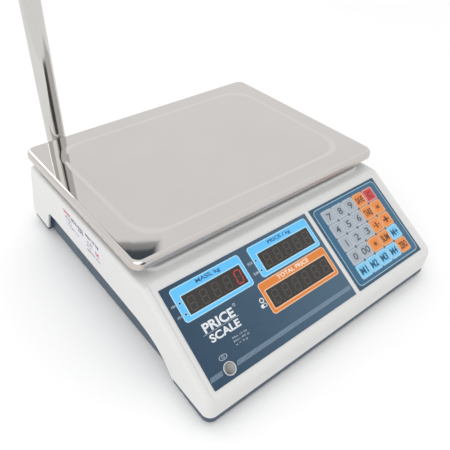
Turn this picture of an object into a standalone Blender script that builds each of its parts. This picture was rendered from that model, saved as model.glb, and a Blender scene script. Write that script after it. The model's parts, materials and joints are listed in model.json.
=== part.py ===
"""Retail price-computing scale: weighing platter over a wedge-shaped case, mast and customer display."""
import math

import bmesh
import bpy

MM = 0.001
GAP = 0.3 * MM
# A cutter starts and ends this far outside the piece that it cuts.
REACH = 4 * MM

# Case: y runs back from the front face and z runs up from the underside of the base tray.
BODY_WIDTH = 323 * MM
BODY_DEPTH = 368 * MM
FOOT_HEIGHT = 9 * MM
DECK_HEIGHT = 86.2 * MM
DECK_FRONT = 98.7 * MM
PANEL_SLOPE = math.radians(31.8)
REAR_LEAN = math.radians(19.7)
REAR_EDGE_RADIUS = 6 * MM
WALL = 2.5 * MM
STRIP_HEIGHT = 4.6 * MM
FRONT_CORNER = 9 * MM
EDGE_RADIUS = 4 * MM
LIP_RADIUS = 8 * MM
RIDGE_HEIGHT = 1.6 * MM
RECESS_HALF = 154 * MM

# Plateau of the deck under the platter: x0, x1, y0, y1.
PLATEAU = (-147 * MM, 147 * MM, 107 * MM, 331 * MM)
PLATEAU_HEIGHT = 4.5 * MM
PLATEAU_CORNER = 14 * MM
PLATEAU_CHAMFER = 2 * MM

# Hand-hold in each side: outline of the cut in the side wall as (y, z), and its depth.
HOLD_DEPTH = 6.5 * MM
HOLD_WALL = 2.2 * MM
# Rim under the front of the tray: its depth, and where along the sides it starts and stops running out.
SKIRT_DEPTH = 2.5 * MM
SKIRT_START = 14 * MM
SKIRT_END = 49 * MM
HOLD_OUTLINE = [(50, -1), (65.4, 17.6), (78, 26.5), (92, 31.5), (110, 34.2), (148, 35.4), (288, 38.2),
                (304, 37.4), (309.5, 32), (323.5, -1)]

# Front panel: x from the centre line, t down the slope from the deck's front edge.
FILM_SIZE = {"display": (-148.9 * MM, 36 * MM), "keypad": (42 * MM, 148.9 * MM)}
FILM_TOP = 9.4 * MM
FILM_BOTTOM = 107.2 * MM
FILM_REST = 0.15 * MM
FILM_THICKNESS = 0.5 * MM
WINDOWS = {
    "mass": (-133 * MM, -65 * MM, 23 * MM, 41.8 * MM),
    "price": (-41.5 * MM, 27.5 * MM, 22.7 * MM, 41.5 * MM),
    "total": (-55 * MM, 27.7 * MM, 57 * MM, 76 * MM),
}
LEVEL_CENTRE = (-126.7 * MM, 98 * MM)
LEVEL_RADIUS = 6.3 * MM
KEY_CENTRE = (95.9 * MM, 58.3 * MM)
KEY_PITCH = (17.0 * MM, 16.63 * MM)
KEY_SIZE = (15.8 * MM, 15.4 * MM)
KEY_CORNER = 1.65 * MM
KEY_BOTTOM = -1.6 * MM
KEY_TOP = 0.95 * MM
KEY_NAMES = [
    ["key_7", "key_8", "key_9", "key_save", "key_clear"],
    ["key_4", "key_5", "key_6", "key_tare", "key_multiply"],
    ["key_1", "key_2", "key_3", "key_divide", "key_plus"],
    ["key_0", "key_00", "key_star", "key_total", "key_m_plus"],
    ["key_m1", "key_m2", "key_m3", "key_m4", "key_zero"],
]
SKY_KEYS = ("key_m1", "key_m2", "key_m3", "key_m4", "key_m_plus")

# Boards behind the panel, as x0, x1, t0, t1 and heights above the panel's surface.
KEYPAD_BOARD_HALF = (47 * MM, 46 * MM)
KEYPAD_BOARD_TOP = -2.9 * MM
DOME_TOP = -2.4 * MM
DISPLAY_BOARD = (-147 * MM, 40 * MM, 12 * MM, 88 * MM)
DISPLAY_BOARD_TOP = -13 * MM
DISPLAY_BOSSES = [(x * MM, t * MM) for x in (-143, 34.5) for t in (18, 84)]
DIGITS_TOP = -3.2 * MM

# Weighing platform. The load cell lies along X under the middle of the platter.
PLATTER_SIZE = (325 * MM, 238 * MM)
PLATTER_FRONT = 103.6 * MM
PLATTER_MIDDLE = PLATTER_FRONT + PLATTER_SIZE[1] / 2
PLATTER_TOP = 108.6 * MM
PLATTER_LIP = 9 * MM
PLATTER_SHEET = 1 * MM
PLATTER_CORNER = 12 * MM
PLATTER_EDGE = 4.5 * MM
PAD_HALF = (120 * MM, 72 * MM)
PAD_RADIUS = 9 * MM
PIN_RADIUS = 2.7 * MM
SUPPORT_BASE = 95 * MM
SUPPORT_THICKNESS = 5 * MM
SUPPORT_PLATE = (-55 * MM, 75 * MM, 42 * MM)
SUPPORT_HUB = (27 * MM, 67 * MM, 17 * MM)
CELL_LENGTH = 130 * MM
CELL_BASE = 30.3 * MM
CELL_HEIGHT = 22 * MM
CELL_WIDTH = 30 * MM
CELL_TRAVEL = 0.8 * MM
CELL_BOLT_X = 47 * MM
BOLT_ROWS = {"front": PLATTER_MIDDLE - 8 * MM, "rear": PLATTER_MIDDLE + 8 * MM}
BOLT_RADIUS = 3 * MM
BOLT_HOLE = 3.4 * MM
BOLT_HEAD = (5 * MM, 5.5 * MM)

# Mast and customer display head.
MAST_AXIS = (-118.1 * MM, 353.5 * MM)
MAST_RADIUS = 10.9 * MM
MAST_WALL = 1.2 * MM
MAST_BASE_TOP = 12 * MM
MAST_TOP = 463 * MM
HEAD_BOTTOM = 415 * MM
HEAD_TOP = 485 * MM
# Head, from the mast's axis: x0, x1, and how far it stands out to the seller's and the customer's side.
HEAD_X = (-27.9 * MM, 168.1 * MM)
HEAD_Y = (-15 * MM, 14.5 * MM)
HEAD_CORNER = 8 * MM
HEAD_WALL = 2 * MM
HEAD_WINDOW = (30.1 * MM, 158.1 * MM, 434 * MM, 468 * MM)

# Feet, screws and rear fittings.
FOOT_PLACES = {
    "foot_front_left": (-128 * MM, 32 * MM),
    "foot_front_right": (128 * MM, 32 * MM),
    "foot_rear_left": (-128 * MM, 306 * MM),
    "foot_rear_right": (128 * MM, 306 * MM),
}
FOOT_PAD_RADIUS = 15 * MM
FOOT_STUD_RADIUS = 4 * MM
FOOT_STUD_TOP = 15 * MM
POST_PLACES = [(side * x * MM, y * MM) for side in (-1, 1) for x, y in ((149, 20), (143, 150), (143, 334))]
POST_RADIUS = 4.5 * MM
POST_BOTTOM = 5.3 * MM
SCREW_PILOT = 1.8 * MM
SWITCH_PLACE = 95 * MM
SWITCH_CASE = (9.4 * MM, 6.4 * MM)
SOCKET_PLACE = 60 * MM
SOCKET_RADIUS = 4.9 * MM
ROCKER_TILT = math.radians(8)
REAR_FITTING_HEIGHT = 45 * MM
BATTERY_BOX = (8 * MM, 108 * MM, 258 * MM, 328 * MM, 3.1 * MM, 50 * MM)
BOARD_BOX = (20 * MM, 120 * MM, 62 * MM, 142 * MM)
BOARD_HEIGHT = 9.3 * MM
BOARD_THICKNESS = 1.6 * MM


# ---------------------------------------------------------------- scene and object helpers

def clear_scene():
    for item in list(bpy.data.objects):
        bpy.data.objects.remove(item, do_unlink=True)


def collection(name):
    group = bpy.data.collections.new(name)
    bpy.context.scene.collection.children.link(group)
    return group


def material(name, colour, roughness, metallic=0.0):
    made = bpy.data.materials.new(name)
    made.use_nodes = True
    shader = made.node_tree.nodes["Principled BSDF"]
    shader.inputs["Base Color"].default_value = (*colour, 1.0)
    shader.inputs["Roughness"].default_value = roughness
    shader.inputs["Metallic"].default_value = metallic
    return made


def empty(name, location, parent=None, rotation=(0, 0, 0)):
    item = bpy.data.objects.new(name, None)
    item.location = location
    item.rotation_euler = rotation
    item.parent = parent
    PARTS.objects.link(item)
    return item


def place(name, bm, look, parent, location=(0, 0, 0), rotation=(0, 0, 0), smooth=True):
    """Turn a bmesh into a named part."""
    bmesh.ops.recalc_face_normals(bm, faces=bm.faces)
    mesh = bpy.data.meshes.new(name)
    bm.to_mesh(mesh)
    bm.free()
    if smooth:
        mesh.shade_smooth()
        mesh.set_sharp_from_angle(angle=math.radians(35))
    item = bpy.data.objects.new(name, mesh)
    item.parent = parent
    item.location = location
    item.rotation_euler = rotation
    if look:
        mesh.materials.append(look)
        PARTS.objects.link(item)
    else:
        CUTTERS.objects.link(item)
        item.hide_render = True
        item.display_type = "WIRE"
    return item


def tool(name, bm, parent, location=(0, 0, 0), rotation=(0, 0, 0)):
    """A helper solid that cuts or joins a part."""
    return place(name, bm, None, parent, location, rotation)


def combine(item, operation, *tools):
    for number, helper in enumerate(tools):
        step = item.modifiers.new(f"{operation.lower()} {number}", "BOOLEAN")
        step.operation = operation
        step.solver = "EXACT"
        step.object = helper


def cut(item, *tools):
    combine(item, "DIFFERENCE", *tools)


def join(item, *tools):
    combine(item, "UNION", *tools)


# ---------------------------------------------------------------- shape helpers

def box(x0, x1, y0, y1, z0, z1, bm=None):
    bm = bm or bmesh.new()
    made = bmesh.ops.create_cube(bm, size=1.0)["verts"]
    bmesh.ops.scale(bm, vec=(x1 - x0, y1 - y0, z1 - z0), verts=made)
    bmesh.ops.translate(bm, vec=((x0 + x1) / 2, (y0 + y1) / 2, (z0 + z1) / 2), verts=made)
    return bm


def cylinder(x, y, z0, z1, radius, sides=16, top_radius=None, bm=None):
    bm = bm or bmesh.new()
    top = radius if top_radius is None else top_radius
    made = bmesh.ops.create_cone(
        bm, cap_ends=True, segments=sides, radius1=radius, radius2=top, depth=z1 - z0
    )["verts"]
    bmesh.ops.translate(bm, vec=(x, y, (z0 + z1) / 2), verts=made)
    return bm


def rounded_outline(x0, x1, y0, y1, radius, segments=3):
    """Rectangle with round corners, counter-clockwise, as (x, y) points."""
    corners = [(x1 - radius, y1 - radius), (x0 + radius, y1 - radius)]
    corners += [(x0 + radius, y0 + radius), (x1 - radius, y0 + radius)]
    points = []
    for quarter, (cx, cy) in enumerate(corners):
        for step in range(segments + 1):
            angle = math.pi / 2 * (quarter + step / segments)
            points.append((cx + radius * math.cos(angle), cy + radius * math.sin(angle)))
    return points


def loft(rings, bm=None):
    """Closed solid through rings of equal length, flat at the first and last."""
    bm = bm or bmesh.new()
    rows = [[bm.verts.new(point) for point in ring] for ring in rings]
    count = len(rows[0])
    for low, high in zip(rows, rows[1:]):
        for i in range(count):
            j = (i + 1) % count
            bm.faces.new((low[i], low[j], high[j], high[i]))
    bm.faces.new(rows[0][::-1])
    bm.faces.new(rows[-1])
    return bm


def slab(outline, z0, z1, bm=None):
    return loft([[(x, y, z) for x, y in outline] for z in (z0, z1)], bm)


def rounded_box(x0, x1, y0, y1, z0, z1, radius, segments=3, bm=None):
    return slab(rounded_outline(x0, x1, y0, y1, radius, segments), z0, z1, bm)


def side_prism(outline, x0, x1, bm=None):
    """Prism along X from an outline in (y, z)."""
    return loft([[(x, y, z) for y, z in outline] for x in (x0, x1)], bm)


def turned(profile, sides=20):
    """Turned solid about Z from a (radius, z) profile, bottom to top, flat at both ends."""
    turn = [2 * math.pi * i / sides for i in range(sides)]
    return loft([[(radius * math.cos(a), radius * math.sin(a), z) for a in turn] for radius, z in profile])


def grow(outline, amount):
    """Outline moved outward from its middle along its edges' normals."""
    count = len(outline)
    area = sum(
        outline[i][0] * outline[(i + 1) % count][1] - outline[(i + 1) % count][0] * outline[i][1]
        for i in range(count)
    )
    sign = 1 if area > 0 else -1
    grown = []
    for i in range(count):
        (ax, ay), (bx, by), (cx, cy) = outline[i - 1], outline[i], outline[(i + 1) % count]
        before = math.atan2(by - ay, bx - ax) - sign * math.pi / 2
        after = math.atan2(cy - by, cx - bx) - sign * math.pi / 2
        half = (after - before + math.pi) % (2 * math.pi) - math.pi
        reach = amount / math.cos(half / 2)
        grown.append((bx + reach * math.cos(before + half / 2), by + reach * math.sin(before + half / 2)))
    return grown


# ---------------------------------------------------------------- case

def body_profile(front, top, ridge, lip_radius, floor):
    """Side outline as (y, z): up the front lip, up the panel, along the deck, down the rear wall."""
    tan_slope = math.tan(PANEL_SLOPE)
    lift = (ridge - top) / math.cos(PANEL_SLOPE)
    turn = math.pi / 2 - PANEL_SLOPE
    corner = DECK_HEIGHT - (DECK_FRONT - front) * tan_slope + lift
    reach = lip_radius * math.tan(turn / 2)
    points = [(front, floor)]
    for step in range(5):
        angle = turn * step / 4
        y = front + lip_radius * (1 - math.cos(angle))
        points.append((y, corner - reach + lip_radius * math.sin(angle)))
    deck_y = DECK_FRONT - (top + lift) / tan_slope
    deck_z = DECK_HEIGHT - top
    ease = 1.5 * MM
    points.append((deck_y - ease * math.cos(PANEL_SLOPE), deck_z - ease * math.sin(PANEL_SLOPE)))
    points.append((deck_y + ease, deck_z))
    lean = math.tan(REAR_LEAN)
    inset = top / math.cos(REAR_LEAN)
    rear_y = BODY_DEPTH - (deck_z - STRIP_HEIGHT) * lean - inset
    rear_turn = math.pi / 2 - REAR_LEAN
    start = rear_y - REAR_EDGE_RADIUS * math.tan(rear_turn / 2)
    for step in range(4):
        angle = rear_turn * step / 3
        y = start + REAR_EDGE_RADIUS * math.sin(angle)
        points.append((y, deck_z - REAR_EDGE_RADIUS * (1 - math.cos(angle))))
    points.append((BODY_DEPTH - inset + (STRIP_HEIGHT - floor) * lean, floor))
    return points


def round_in(distance, radius):
    """How far a quarter-round edge draws in at a distance from the side face."""
    if distance >= radius:
        return 0.0
    return radius - math.sqrt(radius * radius - (radius - distance) ** 2)


def case_solid(floor):
    """Outer form of the upper housing, lofted across its width."""
    half = BODY_WIDTH / 2
    border = half - RECESS_HALF
    distances = [0, 0.5 * MM, 1.5 * MM, 2.8 * MM, EDGE_RADIUS, border - 1 * MM, border, FRONT_CORNER]
    rings = []
    for side in (-1, 1):
        group = []
        for distance in distances:
            ridge = RIDGE_HEIGHT if distance < border else 0.0
            front = round_in(distance, FRONT_CORNER)
            top = round_in(distance, EDGE_RADIUS)
            outline = body_profile(front, top, ridge, LIP_RADIUS, floor)
            group.append([(side * (half - distance), y, z) for y, z in outline])
        rings += group if side < 0 else group[::-1]
    return loft(rings)


def cavity_solid():
    """Hollow of the upper housing, open below."""
    half = BODY_WIDTH / 2 - WALL
    corner = FRONT_CORNER - WALL
    rings = []
    for side in (-1, 1):
        group = []
        for step in (0, 0.3 * corner, corner):
            front = WALL + round_in(step, corner)
            outline = body_profile(front, WALL, 0.0, LIP_RADIUS - WALL, STRIP_HEIGHT - 2 * MM)
            group.append([(side * (half - step), y, z) for y, z in outline])
        rings += group if side < 0 else group[::-1]
    return loft(rings)


def hold_prism(side, inner, outer, growth=0.0):
    outline = [(y * MM, z * MM) for y, z in HOLD_OUTLINE]
    outline = grow(outline, growth) if growth else outline
    return side_prism(outline, *sorted((side * inner, side * outer)))


def add_upper_housing(look):
    housing = place("upper_housing", case_solid(STRIP_HEIGHT), look, BODY)
    cut(housing, tool("housing_cavity", cavity_solid(), BODY))
    add_plateau(housing)
    add_housing_posts(housing)
    for side, name in ((-1, "left"), (1, "right")):
        prism = hold_prism(side, BODY_WIDTH / 2 - WALL - 2 * GAP, BODY_WIDTH / 2 + REACH)
        cut(housing, tool(f"housing_hold_{name}", prism, BODY))
    margin = 7 * MM
    x0, x1, half_y = SUPPORT_HUB
    hub_hole = rounded_box(x0 - margin, x1 + margin, PLATTER_MIDDLE - half_y - margin,
                           PLATTER_MIDDLE + half_y + margin, DECK_HEIGHT - 2 * REACH, SUPPORT_BASE, 8 * MM)
    cut(housing, tool("housing_hub_hole", hub_hole, BODY))
    mast_hole = cylinder(*MAST_AXIS, MAST_BASE_TOP - 0.5 * MM, 120 * MM, MAST_RADIUS + 0.4 * MM, 28)
    cut(housing, tool("housing_mast_hole", mast_hole, BODY))
    cut_panel(housing)
    clearance = 0.4 * MM
    w, h = SWITCH_CASE[0] + clearance, SWITCH_CASE[1] + clearance
    rear_cuts = box(SWITCH_PLACE - w, SWITCH_PLACE + w, -h, h, -2 * REACH, REACH)
    cylinder(SOCKET_PLACE, 0, -2 * REACH, REACH, SOCKET_RADIUS + clearance, 20, bm=rear_cuts)
    cut(housing, tool("housing_rear_cuts", rear_cuts, REAR))


def add_plateau(housing):
    x0, x1, y0, y1 = PLATEAU
    top = DECK_HEIGHT + PLATEAU_HEIGHT
    step = PLATEAU_CHAMFER
    wide = rounded_outline(x0, x1, y0, y1, PLATEAU_CORNER, 4)
    narrow = rounded_outline(x0 + step, x1 - step, y0 + step, y1 - step, PLATEAU_CORNER - step, 4)
    levels = [(wide, DECK_HEIGHT - 1 * MM), (wide, top - step), (narrow, top)]
    plateau = loft([[(x, y, z) for x, y in line] for line, z in levels])
    join(housing, tool("housing_plateau", plateau, BODY))
    inset = step + WALL
    hollow = rounded_box(x0 + inset, x1 - inset, y0 + inset, y1 - inset,
                         DECK_HEIGHT - WALL - REACH, top - WALL, PLATEAU_CORNER - REACH)
    cut(housing, tool("housing_plateau_hollow", hollow, BODY))


def add_housing_posts(housing):
    """Screw posts that hang from the deck and the panel down to the tray."""
    posts = bmesh.new()
    for x, y in POST_PLACES:
        panel_height = DECK_HEIGHT - (DECK_FRONT - y + POST_RADIUS) * math.tan(PANEL_SLOPE)
        top = min(DECK_HEIGHT - 1 * MM, panel_height - 0.8 * MM)
        cylinder(x, y, POST_BOTTOM, top, POST_RADIUS, 12, bm=posts)
    join(housing, tool("housing_posts", posts, BODY))
    pilots = bmesh.new()
    for x, y in POST_PLACES:
        cylinder(x, y, POST_BOTTOM - 1 * MM, POST_BOTTOM + 11 * MM, SCREW_PILOT, 8, bm=pilots)
    cut(housing, tool("housing_pilots", pilots, BODY))


def cut_panel(housing):
    """Openings for the windows, keys and level, and the bosses for the display board."""
    cuts = bmesh.new()
    for x0, x1, t0, t1 in WINDOWS.values():
        box(x0, x1, -t1, -t0, -2 * REACH, REACH, bm=cuts)
    kx, kt = KEY_CENTRE
    half_x = 2.5 * KEY_PITCH[0] + 2 * GAP
    half_t = 2.5 * KEY_PITCH[1] + 2 * GAP
    box(kx - half_x, kx + half_x, -kt - half_t, -kt + half_t, -2 * REACH, REACH, bm=cuts)
    cylinder(LEVEL_CENTRE[0], -LEVEL_CENTRE[1], -2 * REACH, REACH, LEVEL_RADIUS + GAP, 20, bm=cuts)
    cut(housing, tool("housing_panel_cuts", cuts, PANEL))
    bosses = bmesh.new()
    pilots = bmesh.new()
    for x, t in DISPLAY_BOSSES:
        cylinder(x, -t, DISPLAY_BOARD_TOP + GAP, -2 * MM, 3.2 * MM, 10, bm=bosses)
        cylinder(x, -t, DISPLAY_BOARD_TOP, -5 * MM, SCREW_PILOT, 8, bm=pilots)
    join(housing, tool("housing_bosses", bosses, PANEL))
    cut(housing, tool("housing_boss_pilots", pilots, PANEL))


def add_base_tray(look):
    half = BODY_WIDTH / 2 - GAP
    front = GAP
    rear = BODY_DEPTH - 1.2 * MM
    outline = rounded_outline(-half, half, front, rear, FRONT_CORNER - GAP, 4)
    tray = place("base_tray", slab(outline, 0, STRIP_HEIGHT - GAP), look, BODY)
    add_skirt(tray, half, front, rear)
    # The tongue stands inside the housing's wall, and the hollow leaves it one wall thick.
    tongue_inset = WALL + 0.2 * MM
    tongue_rear = rear - 4.4 * MM
    tongue = rounded_box(-half + tongue_inset, half - tongue_inset, front + tongue_inset, tongue_rear,
                         2 * MM, 9 * MM, 6 * MM, 3)
    join(tray, tool("tray_tongue", tongue, BODY))
    inset = tongue_inset + HOLD_WALL
    hollow = rounded_box(-half + inset, half - inset, front + inset, tongue_rear - HOLD_WALL,
                         WALL, 12 * MM, 4 * MM, 3)
    cut(tray, tool("tray_hollow", hollow, BODY))
    add_hold_pockets(tray)
    add_tray_bosses(tray)
    mast_room = cylinder(*MAST_AXIS, WALL, 20 * MM, 9.6 * MM, 20)
    cut(tray, tool("tray_mast_room", mast_room, BODY))


def add_skirt(tray, half, front, rear):
    """Rim that reaches below the tray in front and runs out along its sides."""
    outline = rounded_outline(-half, half, front, rear, FRONT_CORNER - GAP, 4)
    skirt = tool("tray_skirt", slab(outline, -SKIRT_DEPTH, 1 * MM), BODY)
    inner = rounded_outline(WALL - half, half - WALL, front + WALL, rear, FRONT_CORNER - WALL, 4)
    cut(skirt, tool("tray_skirt_inside", slab(inner, -SKIRT_DEPTH - REACH, REACH), BODY))
    rise = SKIRT_DEPTH / (SKIRT_END - SKIRT_START)
    start = SKIRT_START - REACH
    below = [(start, -SKIRT_DEPTH - REACH * rise), (SKIRT_END, 0), (SKIRT_END, REACH),
             (BODY_DEPTH + REACH, REACH), (BODY_DEPTH + REACH, -10 * MM), (start, -10 * MM)]
    cut(skirt, tool("tray_skirt_run_out", side_prism(below, -BODY_WIDTH, BODY_WIDTH), BODY))
    join(tray, skirt)


def add_hold_pockets(tray):
    """Upright inner walls of the hand-holds."""
    inner = BODY_WIDTH / 2 - HOLD_DEPTH
    outer = BODY_WIDTH / 2 - WALL - 0.4 * MM
    for side, name in ((-1, "left"), (1, "right")):
        pocket = tool(f"tray_pocket_{name}", hold_prism(side, inner - HOLD_WALL, outer, 2 * MM), BODY)
        below = box(-BODY_WIDTH, BODY_WIDTH, 0, BODY_DEPTH, -10 * MM, 0)
        cut(pocket, tool(f"tray_pocket_trim_{name}", below, BODY))
        join(tray, pocket)
        opening = hold_prism(side, inner, BODY_WIDTH / 2 + REACH)
        cut(tray, tool(f"tray_hold_{name}", opening, BODY))


def add_tray_bosses(tray):
    """Threaded bosses for the feet, seats for the case screws and stand-offs for the main board."""
    seat_top = 5 * MM
    sink_depth = 2.8 * MM
    solids = bmesh.new()
    drills = bmesh.new()
    sinks = bmesh.new()
    for x, y in FOOT_PLACES.values():
        cylinder(x, y, 1 * MM, 12 * MM, 2 * FOOT_STUD_RADIUS, 16, bm=solids)
        cylinder(x, y, -REACH, 14 * MM, FOOT_STUD_RADIUS + GAP, 16, bm=drills)
    for x, y in POST_PLACES:
        cylinder(x, y, 1 * MM, seat_top, 6 * MM, 12, bm=solids)
        cylinder(x, y, sink_depth - 0.1 * MM, seat_top + 2 * MM, 1.9 * MM, 8, bm=drills)
        cylinder(x, y, -REACH, sink_depth, 2 * SCREW_PILOT, 12, bm=sinks)
    for x, y in board_corners():
        cylinder(x, y, 1 * MM, BOARD_HEIGHT - GAP, 3.5 * MM, 10, bm=solids)
        cylinder(x, y, 4 * MM, 12 * MM, SCREW_PILOT, 8, bm=drills)
    join(tray, tool("tray_bosses", solids, BODY))
    cut(tray, tool("tray_drills", drills, BODY))
    cut(tray, tool("tray_screw_sinks", sinks, BODY))


def board_corners():
    x0, x1, y0, y1 = BOARD_BOX
    inset = 5 * MM
    return [(x, y) for x in (x0 + inset, x1 - inset) for y in (y0 + inset, y1 - inset)]


# ---------------------------------------------------------------- feet

def add_feet(look):
    bottom = -FOOT_HEIGHT
    pad_top = -3 * MM
    r = FOOT_PAD_RADIUS
    s = FOOT_STUD_RADIUS
    profile = [(r - 2 * MM, bottom), (r - 0.5 * MM, bottom + 1 * MM), (r, bottom + 2.5 * MM),
               (r - 1 * MM, pad_top - 0.6 * MM), (r - 2.5 * MM, pad_top), (s, pad_top),
               (s, FOOT_STUD_TOP - 1 * MM), (s - 1 * MM, FOOT_STUD_TOP)]
    for name, (x, y) in FOOT_PLACES.items():
        place(name, turned(profile, 20), look, BODY, (x, y, 0))


# ---------------------------------------------------------------- weighing platform

def platter_ring(inset, z):
    width, depth = PLATTER_SIZE
    x = width / 2 - inset
    corner = max(PLATTER_CORNER - inset, 1 * MM)
    line = rounded_outline(-x, x, PLATTER_FRONT + inset, PLATTER_FRONT + depth - inset, corner, 5)
    return [(px, py, z) for px, py in line]


def add_platter(look):
    """Pressed sheet with a rounded edge and a turned-down lip, and four locating pins underneath."""
    edge = PLATTER_EDGE
    sheet = PLATTER_SHEET
    bend = PLATTER_TOP - edge
    lip = PLATTER_TOP - PLATTER_LIP
    path = []
    for start, radius in ((sheet, edge - sheet), (0, edge)):
        arc = [math.radians(a) for a in (0, 30, 60, 90)]
        path.append([(start + radius * (1 - math.cos(a)), bend + radius * math.sin(a)) for a in arc])
    inside, outside = path
    section = inside[::-1] + [(sheet, lip), (0, lip)] + outside
    platter = place("platter", loft([platter_ring(inset, z) for inset, z in section]), look, PLATFORM)
    pins = bmesh.new()
    for x, y in pad_places():
        foot = SUPPORT_BASE + SUPPORT_THICKNESS + 1.5 * MM
        cylinder(x, y, foot, PLATTER_TOP - sheet / 2, PIN_RADIUS, 12, bm=pins)
    join(platter, tool("platter_pins", pins, PLATFORM))


def pad_places():
    """Front left, rear left, front right and rear right."""
    return [(sx * PAD_HALF[0], PLATTER_MIDDLE + sy * PAD_HALF[1]) for sx in (-1, 1) for sy in (-1, 1)]


def add_support(looks):
    """Cast spider: a middle plate with a hub down to the load cell and an arm to each pad."""
    z0 = SUPPORT_BASE
    z1 = SUPPORT_BASE + SUPPORT_THICKNESS
    x0, x1, half_y = SUPPORT_PLATE
    frame = rounded_box(x0, x1, PLATTER_MIDDLE - half_y, PLATTER_MIDDLE + half_y, z0, z1, 8 * MM)
    support = place("platter_support", frame, looks["alloy"], PLATFORM)
    # The arms stand clear of the plate's faces, so that no two faces lie in one plane.
    step = 0.01 * MM
    for number, (x, y) in enumerate(pad_places()):
        length = math.hypot(x, y - PLATTER_MIDDLE)
        turn = math.atan2(y - PLATTER_MIDDLE, x)
        arm = box(0, length, -PAD_RADIUS, PAD_RADIUS, z0 - 0.5 * MM, z1 - step)
        join(support, tool(f"support_arm_{number}", arm, PLATFORM, (0, PLATTER_MIDDLE, 0), (0, 0, turn)))
        end = cylinder(x, y, z0 - 1 * MM, z1 + step, PAD_RADIUS + 3 * MM, 16)
        join(support, tool(f"support_end_{number}", end, PLATFORM))
    x0, x1, half_y = SUPPORT_HUB
    hub_bottom = CELL_BASE + CELL_HEIGHT + CELL_TRAVEL
    hub = rounded_box(x0, x1, PLATTER_MIDDLE - half_y, PLATTER_MIDDLE + half_y,
                      hub_bottom, z0 + 1 * MM, 4 * MM)
    join(support, tool("support_hub", hub, PLATFORM))
    # The bolts' heads sit on the bottom of a deep sink in the hub.
    grip = 22 * MM
    sink = 75 * MM
    tip = sink + GAP - grip
    drills = bmesh.new()
    sinks = bmesh.new()
    for y in BOLT_ROWS.values():
        cylinder(CELL_BOLT_X, y, CELL_BASE, z1 + REACH, BOLT_HOLE, 12, bm=drills)
        cylinder(CELL_BOLT_X, y, sink, z1 + REACH, BOLT_HEAD[0] + 2 * GAP, 12, bm=sinks)
    cut(support, tool("support_drills", drills, PLATFORM))
    cut(support, tool("support_screw_sinks", sinks, PLATFORM))
    for name, y in BOLT_ROWS.items():
        place(f"support_bolt_{name}", turned(bolt_profile(grip), 12), looks["steel"], PLATFORM,
              (CELL_BOLT_X, y, tip))
    add_platter_pads(looks["rubber"])


def add_platter_pads(look):
    """Rubber rings between the spider's arms and the platter, around the platter's pins."""
    names = ["front_left", "rear_left", "front_right", "rear_right"]
    bottom = SUPPORT_BASE + SUPPORT_THICKNESS + GAP
    top = PLATTER_TOP - PLATTER_SHEET - GAP
    for name, (x, y) in zip(names, pad_places()):
        ring = cylinder(x, y, bottom, top, PAD_RADIUS, 16, PAD_RADIUS - 1 * MM)
        pad = place(f"platter_pad_{name}", ring, look, PLATFORM)
        hole = cylinder(x, y, bottom - REACH, top + REACH, PIN_RADIUS + 0.8 * MM, 12)
        cut(pad, tool(f"pad_hole_{name}", hole, PLATFORM))


def bolt_profile(length):
    """Socket-head bolt from the tip of its shank at zero up to its head."""
    radius, height = BOLT_HEAD
    return [(BOLT_RADIUS, 0), (BOLT_RADIUS, length), (radius, length), (radius, length + height)]


def add_load_cell(looks):
    """Bending-beam load cell on its spacer, with its bolts and the stop below its free end."""
    half = CELL_LENGTH / 2
    side = CELL_WIDTH / 2
    beam = box(-half, half, PLATTER_MIDDLE - side, PLATTER_MIDDLE + side, CELL_BASE, CELL_BASE + CELL_HEIGHT)
    cell = place("load_cell", beam, looks["alloy"], BODY)
    cell_middle = CELL_BASE + CELL_HEIGHT / 2
    hole_x = 13 * MM
    for number, x in enumerate((-hole_x, hole_x)):
        hole = cylinder(0, 0, -CELL_WIDTH, CELL_WIDTH, 8 * MM, 20)
        across = (math.pi / 2, 0, 0)
        cut(cell, tool(f"cell_hole_{number}", hole, BODY, (x, PLATTER_MIDDLE, cell_middle), across))
    slot = box(-hole_x, hole_x, PLATTER_MIDDLE - CELL_WIDTH, PLATTER_MIDDLE + CELL_WIDTH,
               cell_middle - 3 * MM, cell_middle + 3 * MM)
    cut(cell, tool("cell_slot", slot, BODY))
    drills = bmesh.new()
    for x in (-CELL_BOLT_X, CELL_BOLT_X):
        for y in BOLT_ROWS.values():
            cylinder(x, y, CELL_BASE - REACH, CELL_BASE + CELL_HEIGHT + REACH, BOLT_HOLE, 12, bm=drills)
    cut(cell, tool("cell_drills", drills, BODY))
    block = rounded_box(-half, -half + 38 * MM, PLATTER_MIDDLE - 20 * MM, PLATTER_MIDDLE + 20 * MM,
                        WALL + GAP, CELL_BASE - GAP, 4 * MM)
    spacer = place("load_cell_spacer", block, looks["alloy"], BODY)
    seats = bmesh.new()
    for y in BOLT_ROWS.values():
        cylinder(-CELL_BOLT_X, y, 12 * MM, CELL_BASE + REACH, BOLT_HOLE, 12, bm=seats)
    cut(spacer, tool("spacer_drills", seats, BODY))
    grip = 38 * MM
    for name, y in BOLT_ROWS.items():
        place(f"load_cell_bolt_{name}", turned(bolt_profile(grip), 12), looks["steel"], BODY,
              (-CELL_BOLT_X, y, CELL_BASE + CELL_HEIGHT + GAP - grip))
    # The stop's tip stays about 1 mm below the beam.
    base = WALL + GAP
    stop = [(7 * MM, 0), (7 * MM, 6 * MM), (4 * MM, 6 * MM), (4 * MM, CELL_BASE - base - 0.9 * MM)]
    place("overload_stop", turned(stop, 12), looks["steel"], BODY, (CELL_BOLT_X, PLATTER_MIDDLE, base))


# ---------------------------------------------------------------- panel

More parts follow.
